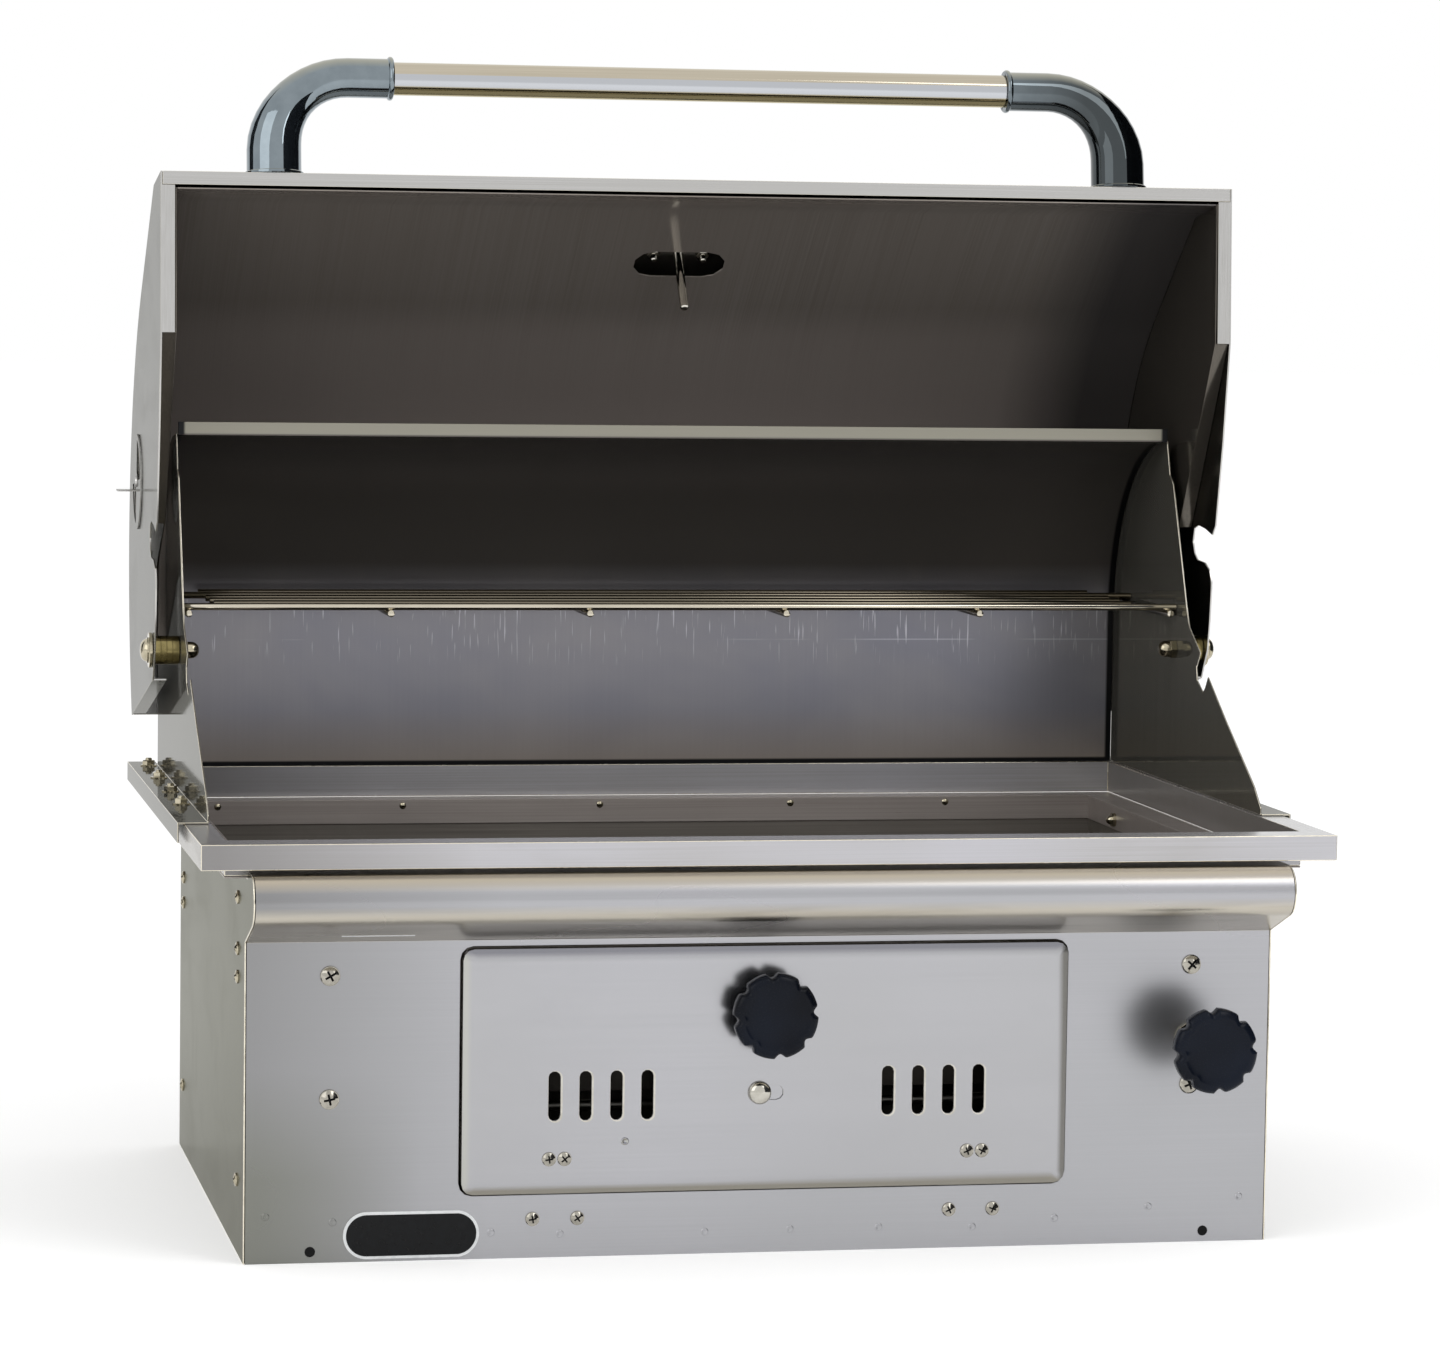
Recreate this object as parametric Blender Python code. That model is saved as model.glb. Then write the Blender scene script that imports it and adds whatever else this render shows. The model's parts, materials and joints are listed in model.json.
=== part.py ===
"""Built-in charcoal grill: a sheet steel cabinet that drops into a counter, with a lifting
charcoal tray, a fuel door with an air slide, and a double walled hood that stands open.

Metres, +Z up. The origin is the centre of the cabinet's flat underside. X runs to the
right, Y to the back. The hood is modelled shut and turned open about its hinge axis.
"""

import bpy
import bmesh
from math import acos, asin, atan2, cos, hypot, pi, radians, sin
from mathutils import Matrix, Vector

# Sheet, gaps and cuts
SHEET = 0.0012
CLEAR = 0.0003
OVERRUN = 0.004
ROUND_STEPS = 16
SMALL_STEPS = 12
ARC_STEPS = 9

# Cabinet
CABINET_WIDTH = 0.7556
CABINET_DEPTH = 0.498
TRIM_TOP = 0.305
NOSE_RADIUS = 0.0186
NOSE_REACH = 0.0595
NOSE_DROP = 0.040
NOSE_BEND_DROP = 0.0745
DRAIN_INSET = 0.0478
DRAIN_HEIGHT = 0.008
DRAIN_RADIUS = 0.00375

# Trim that rests on the counter, and the frame that carries the grates
TRIM_SIDE_REACH = 0.0352
TRIM_FRONT_REACH = 0.042
TRIM_BACK_REACH = 0.035
TRIM_LIP = 0.0184
TRIM_HEM = 0.008
ARM_WIDTH = 0.0202
FRONT_BAR = 0.028
REAR_BAR = 0.027
WALL_DROP = 0.0255
LEDGE_WIDTH = 0.0235
SKIRT_DROP = 0.0195

# Hinge plates and rear shell
PLATE_SIDE_INSET = 0.017
PLATE_FRONT_BACK = 0.131
FOOT_LENGTH = 0.447
FOOT_WIDTH = 0.022
FOOT_LIP = 0.0148
HINGE_DEPTH = 0.3654
HINGE_HEIGHT = 0.1078
SHELL_RADIUS = 0.150
SHELL_STRAIGHT = 0.122
SHELL_LIP = 0.0092
SHELL_FOOT = 0.016
FOOT_FRONT_LEAD = 0.003
PLATE_EDGE_SHARES = ((-1.0, -0.944), (-0.923, -0.806), (-0.603, -0.417), (-0.389, -0.139),
                     (-0.359, -0.222), (-0.333, -0.259), (-0.265, -0.185),
                     (-0.252, -0.083), (-0.291, 0.012), (-0.158, 0.122), (-0.124, 0.207),
                     (0.087, 0.793), (0.141, 0.835), (0.195, 1.0))

# Warming rack
RACK_WIRE = 0.00275
RACK_RISE = 0.136
RACK_FRONT_BACK = 0.360
RACK_BACK_BACK = 0.530
RACK_BAR_SPAN = 0.778
RACK_BARS = 6
RACK_WIRE_SINK = 0.0004
RACK_WIRES = 6
RACK_LONG_WIRES = (0, 4)
RACK_SHORT_END = 0.028

# Hood, given shut
HOOD_SIDE_REACH = 0.0035
HOOD_FRONT_BACK = 0.012
HOOD_LIFT = 0.005
HOOD_BAND = 0.062
HOOD_BAND_LEAN = 0.002
HOOD_SLANT = 0.139
HOOD_SLANT_ANGLE = radians(60.7)
HOOD_OPEN_ANGLE = radians(97.5)
HOOD_REAR_ANGLE = radians(78)
HOOD_RUN_GAP = 0.0035
HOOD_FLANGE = 0.010
WALL_SPACE = 0.012
LINER_END_SHARE = 0.85
LINER_SIDE_GAP = 0.0110
HOOD_EDGE_SHARES = ((-0.660, -0.903), (-0.450, -0.689), (-0.268, -0.460), (-0.249, -0.372),
                    (-0.267, -0.190), (-0.279, -0.010), (-0.275, 0.052), (-0.246, 0.078),
                    (-0.219, 0.058), (-0.202, 0.018), (-0.191, -0.165), (-0.171, -0.287),
                    (-0.145, -0.325), (-0.119, -0.310), (-0.060, -0.262), (0.050, -0.185),
                    (0.180, -0.140), (0.347, -0.080), (0.560, -0.010))
REAR_FLANGE_SHARE = 0.95
LINER_EDGE_SHARES = ((-0.660, -0.883), (-0.278, 0.087))

# Hinge fittings
BOLT_RADIUS = 0.004
BOLT_HEAD_RADIUS = 0.00875
BOLT_HEAD = 0.005
WASHER_RADIUS = 0.0135
WASHER = 0.004
SPACER_RADIUS = 0.011
NUT_RADIUS = 0.0078
NUT_LENGTH = 0.014

# Handle
HANDLE_RADIUS = 0.0125
HANDLE_WALL = 0.0015
HANDLE_HALF = 0.2355
HANDLE_REACH = 0.0765
HANDLE_RISE = 0.0193
ELBOW_END_RADIUS = 0.0150
ELBOW_BASE_RADIUS = 0.0225
ELBOW_FOOT_SHARE = 0.92
ELBOW_TAPER_SHARES = (1.0, 0.84, 0.56, 0.28, 0.10, 0.02, 0.0)
ELBOW_HALF_SPAN = 0.3295
ELBOW_BEND = 0.056
BEAD_RADIUS = 0.0168
BEAD_LENGTH = 0.007
SPIGOT_LENGTH = 0.012

# Thermometer
GAUGE_RADIUS = 0.036
GAUGE_DEPTH = 0.012
GAUGE_WALL = 0.0015
GAUGE_ALONG_SHARE = 0.53
STEM_RADIUS = 0.0035
STEM_LENGTH = 0.070
RECESS_LENGTH = 0.073
RECESS_WIDTH = 0.032
NEEDLE_LENGTH = 0.024
NEEDLE_TAIL = 0.008
NEEDLE_RADIUS = 0.0012
ARBOR_RADIUS = 0.0015
DIAL_SHEET = 0.0008
GLASS = 0.0015

# Hood side dampers
DAMPER_RADIUS = 0.0375
DAMPER_HOLE_INNER = 0.0075
DAMPER_HOLE_OUTER = 0.0335
DAMPER_HOLE_ANGLE = radians(78)
DAMPER_LEAN = HOOD_OPEN_ANGLE - radians(90)
DAMPER_HOLE_TURNS = (DAMPER_LEAN * 180 / pi + 45, DAMPER_LEAN * 180 / pi + 225)
DAMPER_TAB = 0.015
DAMPER_TAB_DROP = 0.0062
DAMPER_TAB_WIDTH = 0.018
DAMPER_PIN = 0.003
DAMPER_PIN_HEAD = 0.005
DAMPER_SHEET = 0.0012
DAMPER_ACROSS_SHARE = -0.394
DAMPER_UP_SHARE = 0.604

# Fuel door, given shut
DOOR_WIDTH = 0.4446
DOOR_HEIGHT = 0.1771
DOOR_BOTTOM = 0.0472
DOOR_GAP = 0.0015
DOOR_CORNER = 0.008
DOOR_RAISE = 0.007
DOOR_RIM = 0.0025
DOOR_BORDER = 0.010
DOOR_BEVEL = 0.0022
LOUVRE_WIDTH = 0.009
LOUVRE_HEIGHT = 0.036
LOUVRE_FIRST = 0.0885
LOUVRE_PITCH = 0.0225
LOUVRES_A_SIDE = 4
LOUVRE_RISE = 0.0708
AIR_TRAVEL = 0.0115
KNUCKLE_RADIUS = 0.0017
PIN_RADIUS = 0.0008
HINGE_INSET = 0.0686
HINGE_LEAF = 0.048
HINGE_LEAF_DROP = 0.026
HINGE_STRAP_RISE = 0.030
HINGE_KNUCKLE_SHARE = 0.25
HINGE_SHEET = 0.0008
LATCH_RISE = 0.1298
CAM_LENGTH = 0.056
CAM_WIDTH = 0.012
LATCH_HUB = 0.007
COLLAR_RADIUS = 0.007
COLLAR = 0.002
STUD_SLOT = 0.023
STUD_SLOT_HEIGHT = 0.011
STUD_RADIUS = 0.0085
STUD_HEIGHT = 0.006
STUD_SHANK = 0.003
SLIDE_SHEET = 0.001
SLIDE_HEIGHT = 0.050
SLIDE_END = 0.010
GUIDE_OVERLAP = 0.004
GUIDE_STRIP = 0.010

# Knobs
KNOB_RADIUS = 0.031
KNOB_DEPTH = 0.018
KNOB_LOBES = 8
KNOB_LOBE_DEPTH = 0.0034
KNOB_SCALLOP_SHARE = 0.42
KNOB_TURN = radians(-6)
KNOB_HUB = 0.011
SHAFT_RADIUS = 0.004
DOOR_KNOB_REACH = 0.037
CRANK_REACH = 0.072
BUSH_RADIUS = 0.007
BUSH_FLANGE = 0.011
BUSH_FLANGE_LENGTH = 0.003

# Charcoal lift
CRANK_OUT = 0.013
CRANK_HEIGHT = 0.152
GUIDE_INSET = 0.0738
GUIDE_BOTTOM = 0.090
GUIDE_TOP = 0.222
GUIDE_FLANGE = 0.025
CAM_GAP = 0.0018
CAM_SHEET = 0.0015
LIFT_RUN = 0.100
LIFT_RISE = 0.080
TRAY_PIN_FRONT = 0.105
TRAY_PIN_BACK = 0.112
TRAY_PIN_RADIUS = 0.0035
TRAY_PIN_HEIGHT = 0.124
CROSS_BAR_RADIUS = 0.004
CROSS_BAR_HEIGHT = 0.100
CROSS_BAR_FRONT = 0.190
CROSS_BAR_BACK = 0.100
SLOT_CLEAR = 0.0006
NUT_BLOCK_LENGTH = 0.030
NUT_BLOCK_HEIGHT = 0.024
NUT_BLOCK_BACK = 0.045
NUT_BLOCK_WALL = 0.004
CAM_EDGE = 0.010

# Charcoal tray and ash pan
TRAY_SIDE_GAP = 0.009
TRAY_DEPTH = 0.400
TRAY_WALL = 0.050
TRAY_SHEET = 0.002
TRAY_BOTTOM = 0.112
TRAY_SLOT_WIDTH = 0.010
TRAY_SLOT_ROWS = 2
TRAY_SLOTS_A_ROW = 9
TRAY_SLOT_SHARE = 0.76
PAN_WIDTH = 0.400
PAN_FRONT_GAP = 0.026
PAN_BACK_GAP = 0.020
PAN_HEIGHT = 0.030
PAN_RIM = 0.0175
PAN_RIM_HEIGHT = 0.0875
RAIL_SHELF = 0.024

# Places that follow from the sizes above
HALF_WIDTH = CABINET_WIDTH / 2
FRONT = -CABINET_DEPTH / 2
BACK = CABINET_DEPTH / 2
TRIM_HALF = HALF_WIDTH + TRIM_SIDE_REACH
TRIM_FRONT = FRONT - TRIM_FRONT_REACH
TRIM_BACK = BACK + TRIM_BACK_REACH
LEDGE_TOP = TRIM_TOP - WALL_DROP
LEDGE_UNDER = LEDGE_TOP - SHEET
PLATE_HALF = TRIM_HALF - PLATE_SIDE_INSET
SHELL_FACE = TRIM_BACK - REAR_BAR + SHEET
FOOT_TOP = TRIM_TOP + CLEAR + SHEET
HINGE_Y = TRIM_FRONT + HINGE_DEPTH
HINGE_Z = TRIM_TOP + HINGE_HEIGHT
HOOD_FRONT = TRIM_FRONT + HOOD_FRONT_BACK
HOOD_BOTTOM = TRIM_TOP + HOOD_LIFT
HOOD_OUTER = TRIM_HALF + HOOD_SIDE_REACH
HOOD_INNER = HOOD_OUTER - SHEET
LINER_SIDE = HOOD_INNER - LINER_SIDE_GAP
LINER_HALF = TRIM_HALF - ARM_WIDTH - LEDGE_WIDTH + SHEET + CLEAR
LINER_FRONT = TRIM_FRONT + FRONT_BAR + LEDGE_WIDTH - SHEET - CLEAR
LINER_BACK = TRIM_BACK - REAR_BAR - LEDGE_WIDTH + SHEET + CLEAR
PAN_FRONT = LINER_FRONT + PAN_FRONT_GAP
PAN_DEPTH = LINER_BACK - PAN_BACK_GAP - PAN_FRONT
GUIDE_SIDE = CABINET_WIDTH / 2 - GUIDE_INSET
CRANK_SIDE = GUIDE_SIDE + CRANK_OUT
TRAY_WIDTH = 2 * (GUIDE_SIDE - TRAY_SIDE_GAP)
DOOR_FACE = FRONT - DOOR_RAISE
DOOR_INNER = DOOR_FACE + SHEET
DOOR_AXIS_Y = DOOR_FACE + DOOR_BEVEL + SHEET + KNUCKLE_RADIUS - CLEAR / 3
HINGE_SPACING = DOOR_WIDTH - 2 * HINGE_INSET
DOOR_AXIS_Z = DOOR_BOTTOM + SHEET + CLEAR + KNUCKLE_RADIUS
LATCH_Z = DOOR_BOTTOM + LATCH_RISE
AXIS_X = Vector((1, 0, 0))
AXIS_Y = Vector((0, 1, 0))


def clear_scene():
    for thing in list(bpy.data.objects):
        bpy.data.objects.remove(thing, do_unlink=True)


def material(name, colour, roughness, metallic):
    """A plain Principled material."""
    finish = bpy.data.materials.new(name)
    finish.use_nodes = True
    shader = finish.node_tree.nodes["Principled BSDF"]
    shader.inputs["Base Color"].default_value = (*colour, 1)
    shader.inputs["Roughness"].default_value = roughness
    shader.inputs["Metallic"].default_value = metallic
    return finish


def add(name, shape, finish=None, pivot=None):
    """Turn a bmesh into an object, hung from its pivot without moving it."""
    bmesh.ops.recalc_face_normals(shape, faces=shape.faces)
    mesh = bpy.data.meshes.new(name)
    shape.to_mesh(mesh)
    shape.free()
    mesh.shade_smooth()
    mesh.set_sharp_from_angle(angle=radians(35))
    piece = bpy.data.objects.new(name, mesh)
    bpy.context.collection.objects.link(piece)
    if finish:
        mesh.materials.append(finish)
    if pivot:
        piece.parent = pivot
        piece.matrix_parent_inverse = Matrix.Translation(-pivot.location)
    return piece


def pivot_at(name, place, parent=None):
    """An empty on a joint's axis."""
    empty = bpy.data.objects.new(name, None)
    empty.location = place
    bpy.context.collection.objects.link(empty)
    if parent:
        empty.parent = parent
        empty.matrix_parent_inverse = Matrix.Translation(-parent.location)
    return empty


def combine(piece, shapes, operation):
    """Join helper solids to a piece, or cut them from it."""
    helpers = bpy.data.collections.new(piece.name + "_" + operation.lower())
    bpy.context.scene.collection.children.link(helpers)
    for count, shape in enumerate(shapes):
        helper = add(f"{helpers.name}_{count}", shape)
        bpy.context.collection.objects.unlink(helper)
        helpers.objects.link(helper)
        helper.parent = piece.parent
        helper.matrix_parent_inverse = piece.matrix_parent_inverse
        helper.hide_render = True
        helper.display_type = "WIRE"
    step = piece.modifiers.new(operation.title(), "BOOLEAN")
    step.operation = operation
    step.operand_type = "COLLECTION"
    step.collection = helpers
    step.solver = "EXACT"
    return piece


def join(piece, *shapes):
    return combine(piece, shapes, "UNION")


def cut(piece, *shapes):
    return combine(piece, shapes, "DIFFERENCE")


def place(axis, along, across, up):
    """A point from its distance along an axis and its place in the plane square to it."""
    order = {"X": (along, across, up), "Y": (across, along, up), "Z": (across, up, along)}
    return Vector(order[axis])


def prism(outline, axis, start, end):
    """A flat outline extruded along an axis."""
    shape = bmesh.new()
    corners = [shape.verts.new(place(axis, start, *point)) for point in outline]
    face = shape.faces.new(corners)
    swept = bmesh.ops.extrude_face_region(shape, geom=[face])
    moved = [item for item in swept["geom"] if isinstance(item, bmesh.types.BMVert)]
    bmesh.ops.translate(shape, verts=moved, vec=place(axis, end - start, 0, 0))
    return shape


def box(x_range, y_range, z_range):
    """A block between two places on each axis."""
    (x0, x1), (y0, y1), (z0, z1) = x_range, y_range, z_range
    return prism(((x0, y0), (x1, y0), (x1, y1), (x0, y1)), "Z", z0, z1)


def skin(rings, closed=False):
    """Bridge rings of points; the ends are capped, or the last ring meets the first."""
    shape = bmesh.new()
    loops = [[shape.verts.new(point) for point in ring] for ring in rings]
    pairs = list(zip(loops, loops[1:]))
    if closed:
        pairs.append((loops[-1], loops[0]))
    for lower, upper in pairs:
        for here in range(len(lower)):
            after = (here + 1) % len(lower)
            shape.faces.new((lower[here], lower[after], upper[after], upper[here]))
    if not closed:
        shape.faces.new(loops[0])
        shape.faces.new(loops[-1])
    return shape


def circle(centre, direction, radius, steps=ROUND_STEPS, wave=None):
    """Points round a centre, square to a direction."""
    side = direction.orthogonal().normalized()
    other = direction.cross(side).normalized()
    points = []
    for count in range(steps):
        turn = 2 * pi * count / steps
        size = wave(turn, radius) if wave else radius
        points.append(centre + side * size * cos(turn) + other * size * sin(turn))
    return points


def turned(profile, origin, direction, closed=False, steps=ROUND_STEPS):
    """A round piece from (distance along the axis, radius) pairs."""
    axis = Vector(direction).normalized()
    start = Vector(origin)
    rings = [circle(start + axis * along, axis, radius, steps) for along, radius in profile]
    return skin(rings, closed)


def rod(start, end, radius, steps=SMALL_STEPS):
    """A plain round bar between two points."""
    run = Vector(end) - Vector(start)
    return turned(((0, radius), (run.length, radius)), start, run, steps=steps)


def arc(centre, radius, start, end, steps=ARC_STEPS):
    """Points of an arc, in degrees from the first axis of its plane."""
    turns = [start + (end - start) * count / steps for count in range(steps + 1)]
    return [(centre[0] + radius * cos(radians(turn)),
             centre[1] + radius * sin(radians(turn))) for turn in turns]


def offset(line, distance):
    """The line moved to its right, with mitred corners."""
    moved = []
    for count, point in enumerate(line):
        normals = []
        for first, second in ((count - 1, count), (count, count + 1)):
            if first < 0 or second >= len(line):
                continue
            run = Vector(line[second]) - Vector(line[first])
            normals.append(Vector((run.y, -run.x)).normalized())
        middle = sum(normals, Vector((0, 0))).normalized()
        reach = distance / middle.dot(normals[0])
        moved.append((point[0] + middle.x * reach, point[1] + middle.y * reach))
    return moved


def sheet(line, axis, start, end, thickness=SHEET):
    """Sheet metal bent along a line, its thickness to the line's right."""
    return prism(line + offset(line, thickness)[::-1], axis, start, end)


def framed(section, half_width, front, back):
    """A rectangular ring with mitred corners from (side, front, back inset, height)."""
    rings = []
    for side, near, far, height in section:
        x, y0, y1 = half_width - side, front + near, back - far
        rings.append([Vector((-x, y0, height)), Vector((x, y0, height)),
                      Vector((x, y1, height)), Vector((-x, y1, height))])
    return skin(rings, closed=True)


def round_rectangle(half_width, low, high, radius, steps=3):
    """A rectangle with round corners, centred on the first axis."""
    outline = []
    for side, level, start in ((1, low, 270), (1, high, 0), (-1, high, 90), (-1, low, 180)):
        lift = radius if level == low else -radius
        outline += arc((side * (half_width - radius), level + lift), radius,
                       start, start + 90, steps)
    return outline


def obround(centre, length, width, upright=True, steps=5):
    """A slot outline with half round ends."""
    run = (length - width) / 2
    across, up = centre
    if upright:
        return (arc((across, up + run), width / 2, 0, 180, steps)
                + arc((across, up - run), width / 2, 180, 360, steps))
    return (arc((across + run, up), width / 2, -90, 90, steps)
            + arc((across - run, up), width / 2, 90, 270, steps))


def slanted_slot(start, end, radius, steps=5):
    """A slot outline between two points."""
    lean = atan2(end[1] - start[1], end[0] - start[0]) * 180 / pi
    return (arc(end, radius, lean - 90, lean + 90, steps)
            + arc(start, radius, lean + 90, lean + 270, steps))


def nose_line():
    """Outside of the front sheet: up the panel, out along the slant and round the nose."""
    centre = (FRONT - NOSE_REACH + NOSE_RADIUS, TRIM_TOP - NOSE_DROP)
    bend = (FRONT, TRIM_TOP - NOSE_BEND_DROP)
    reach = hypot(bend[0] - centre[0], centre[1] - bend[1])
    lean = atan2(centre[1] - bend[1], bend[0] - centre[0]) - asin(NOSE_RADIUS / reach)
    start = 270 - lean * 180 / pi
    end = (TRIM_FRONT + FRONT_BAR - SHEET * 2, centre[1] + NOSE_RADIUS)
    return [(FRONT, 0), bend] + arc(centre, NOSE_RADIUS, start, 90) + [end]


def at_hinge(across_share, up_share, front, back, low, high):
    """A point given by shares of the distances from the hinge to four limits."""
    across = (HINGE_Y - front) if across_share < 0 else (back - HINGE_Y)
    up = (HINGE_Z - low) if up_share < 0 else (high - HINGE_Z)
    return (HINGE_Y + across * across_share, HINGE_Z + up * up_share)


def hood_line():
    """Outside of the shut hood: band, slanted face and the curve over the top."""
    low = (HOOD_FRONT, HOOD_BOTTOM)
    bend = (HOOD_FRONT + HOOD_BAND_LEAN, HOOD_BOTTOM + HOOD_BAND)
    run = Vector((cos(HOOD_SLANT_ANGLE), sin(HOOD_SLANT_ANGLE)))
    crown = Vector(bend) + run * HOOD_SLANT
    rear_turn = HOOD_OPEN_ANGLE - HOOD_REAR_ANGLE
    reach = (SHELL_FACE - HINGE_Y) / cos(rear_turn) + SHEET + HOOD_RUN_GAP
    rear = Vector((HINGE_Y + reach * cos(HOOD_REAR_ANGLE),
                   HINGE_Z + reach * sin(HOOD_REAR_ANGLE)))
    inward = Vector((run.y, -run.x))
    chord = rear - crown
    radius = chord.length_squared / (2 * inward.dot(chord))
    centre = crown + inward * radius
    start = HOOD_SLANT_ANGLE * 180 / pi + 90
    end = atan2(rear.y - centre.y, rear.x - centre.x) * 180 / pi
    curve = arc(centre, radius, start, end, 2 * ARC_STEPS)
    return [low, bend] + curve


def hood_rear():
    return hood_line()[-1]


def liner_line():
    """Outside of the hood's inner skin, which stops before it meets the rear shell."""
    whole = offset(hood_line(), WALL_SPACE)
    kept = 2 + int(2 * ARC_STEPS * LINER_END_SHARE) + 1
    line = whole[:kept]
    line[0] = (line[0][0], HOOD_BOTTOM + SHEET + CLEAR)
    return line


def slant_point(along, out=0):
    """A point on the hood's slanted face, in world axes."""
    bend = Vector(hood_line()[1])
    run = Vector((cos(HOOD_SLANT_ANGLE), sin(HOOD_SLANT_ANGLE)))
    spot = bend + run * along + Vector((-run.y, run.x)) * out
    return Vector((0, spot.x, spot.y))


def on_side(sign, near, far):
    """The two ends of a span on the left or right, in rising order."""
    return tuple(sorted((sign * near, sign * far)))


def make_cabinet(steel, dark_steel):
    inner = HALF_WIDTH - SHEET - CLEAR
    panel = add("front_panel", sheet(nose_line(), "X", -inner, inner), steel)
    opening = round_rectangle(DOOR_WIDTH / 2 + DOOR_GAP, DOOR_BOTTOM - DOOR_GAP,
                              DOOR_BOTTOM + DOOR_HEIGHT + DOOR_GAP, DOOR_CORNER + DOOR_GAP)
    span = (FRONT - OVERRUN, FRONT + SHEET + OVERRUN)
    cuts = [prism(opening, "Y", *span)]
    crank = (CRANK_SIDE, CRANK_HEIGHT)
    cuts.append(prism(arc(crank, BUSH_RADIUS + CLEAR, 0, 345, 23), "Y", *span))
    for sign in (-1, 1):
        spot = (sign * (HALF_WIDTH - DRAIN_INSET), DRAIN_HEIGHT)
        cuts.append(prism(arc(spot, DRAIN_RADIUS, 0, 330, 11), "Y", *span))
    cut(panel, *cuts)

    wall_top = LEDGE_UNDER - CLEAR
    nose_end = nose_line()[-1]
    cap = nose_line() + [(nose_end[0], wall_top), (BACK, wall_top), (BACK, 0)]
    for side, sign in (("left", -1), ("right", 1)):
        add(side + "_side_panel",
            prism(cap, "X", *on_side(sign, HALF_WIDTH - SHEET, HALF_WIDTH)), steel)
    add("back_panel", box((-inner, inner), (BACK - SHEET, BACK), (0, wall_top)), steel)
    floor_front, floor_back = FRONT + SHEET + CLEAR, BACK - SHEET - CLEAR
    add("base_panel", box((-inner, inner), (floor_front, floor_back), (0, SHEET)), steel)

    liner_low = SHEET + CLEAR
    walls = ((0, 0, 0, liner_low), (0, 0, 0, wall_top),
             (SHEET, SHEET, SHEET, wall_top), (SHEET, SHEET, SHEET, liner_low))
    liner = add("firebox_liner", framed(walls, LINER_HALF + SHEET, LINER_FRONT - SHEET,
                                        LINER_BACK + SHEET), dark_steel)
    wall_span = (LINER_FRONT - SHEET - OVERRUN, LINER_FRONT + OVERRUN)
    cut(liner,
        box((-DOOR_WIDTH / 2, DOOR_WIDTH / 2), wall_span,
            (DOOR_BOTTOM, DOOR_BOTTOM + DOOR_HEIGHT)),
        prism(arc(crank, BUSH_RADIUS + CLEAR, 0, 345, 23), "Y", *wall_span))


def make_trim(steel):
    bars = (ARM_WIDTH, FRONT_BAR, REAR_BAR)
    walls = tuple(bar - SHEET for bar in bars)
    flat, hem = (SHEET,) * 3, (TRIM_HEM,) * 3
    low = TRIM_TOP - TRIM_LIP
    foot = LEDGE_TOP + CLEAR
    section = [(0, 0, 0, low), (0, 0, 0, TRIM_TOP), (*bars, TRIM_TOP), (*bars, foot),
               (*walls, foot), (*walls, TRIM_TOP - SHEET), (*flat, TRIM_TOP - SHEET),
               (*flat, low + SHEET), (*hem, low + SHEET), (*hem, low)]
    add("trim_frame", framed(section, TRIM_HALF, TRIM_FRONT, TRIM_BACK), steel)

    inner = tuple(bar + LEDGE_WIDTH for bar in bars)
    outer = tuple(edge - SHEET for edge in inner)
    skirt = LEDGE_TOP - SKIRT_DROP
    section = [(*walls, LEDGE_TOP), (*inner, LEDGE_TOP), (*inner, skirt),
               (*outer, skirt), (*outer, LEDGE_UNDER), (*walls, LEDGE_UNDER)]
    add("grate_frame", framed(section, TRIM_HALF, TRIM_FRONT, TRIM_BACK), steel)


def shell_line():
    """Outside of the rear shell, from its foot up and over to the folded lip."""
    bend = TRIM_TOP + SHELL_STRAIGHT
    centre = (SHELL_FACE - SHELL_RADIUS, bend)
    crown = bend + SHELL_RADIUS
    foot = TRIM_TOP + CLEAR
    return ([(SHELL_FACE + SHELL_FOOT, foot), (SHELL_FACE, foot)],
            arc(centre, SHELL_RADIUS, 0, 90, 2 * ARC_STEPS),
            [(centre[0], crown + SHELL_LIP)])


def make_back_works(steel, dark_steel, chrome):
    foot, curve, lip = shell_line()
    top = curve[-1][1]
    inner = PLATE_HALF - SHEET - CLEAR
    line = [(foot[0][0], foot[0][1] + SHEET), (foot[1][0], foot[1][1] + SHEET)] + curve + lip
    add("rear_shell", sheet(line[::-1], "X", -inner, inner), dark_steel)

    plate_front = TRIM_FRONT + PLATE_FRONT_BACK
    low = TRIM_TOP + CLEAR + SHEET / 2
    outline = [at_hinge(across, up, plate_front, SHELL_FACE, TRIM_TOP, top)
               for across, up in PLATE_EDGE_SHARES]
    outline += [point for point in curve[::-1] if point[1] < top - SHEET]
    outline += [(SHELL_FACE, low), (plate_front, low)]
    foot_front = plate_front - FOOT_FRONT_LEAD
    foot_end = PLATE_HALF + FOOT_WIDTH
    for side, sign in (("left", -1), ("right", 1)):
        plate = add(side + "_hinge_plate",
                    prism(outline, "X", *on_side(sign, PLATE_HALF - SHEET, PLATE_HALF)), steel)
        outer, inner_edge = sign * foot_end, sign * (PLATE_HALF - SHEET / 2)
        thick = sign * SHEET
        angle = [(outer, FOOT_TOP - FOOT_LIP), (outer, FOOT_TOP), (inner_edge, FOOT_TOP),
                 (inner_edge, FOOT_TOP - SHEET), (outer - thick, FOOT_TOP - SHEET),
                 (outer - thick, FOOT_TOP - FOOT_LIP)]
        flange = prism(angle, "Y", foot_front, foot_front + FOOT_LENGTH)
        join(plate, flange)
        cut(plate, rod((sign * (PLATE_HALF + OVERRUN), HINGE_Y, HINGE_Z),
                       (sign * (PLATE_HALF - SHEET - OVERRUN), HINGE_Y, HINGE_Z),
                       BOLT_RADIUS + CLEAR))
        make_hinge_fittings(side, sign, chrome)
    make_warming_rack(chrome)


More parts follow.
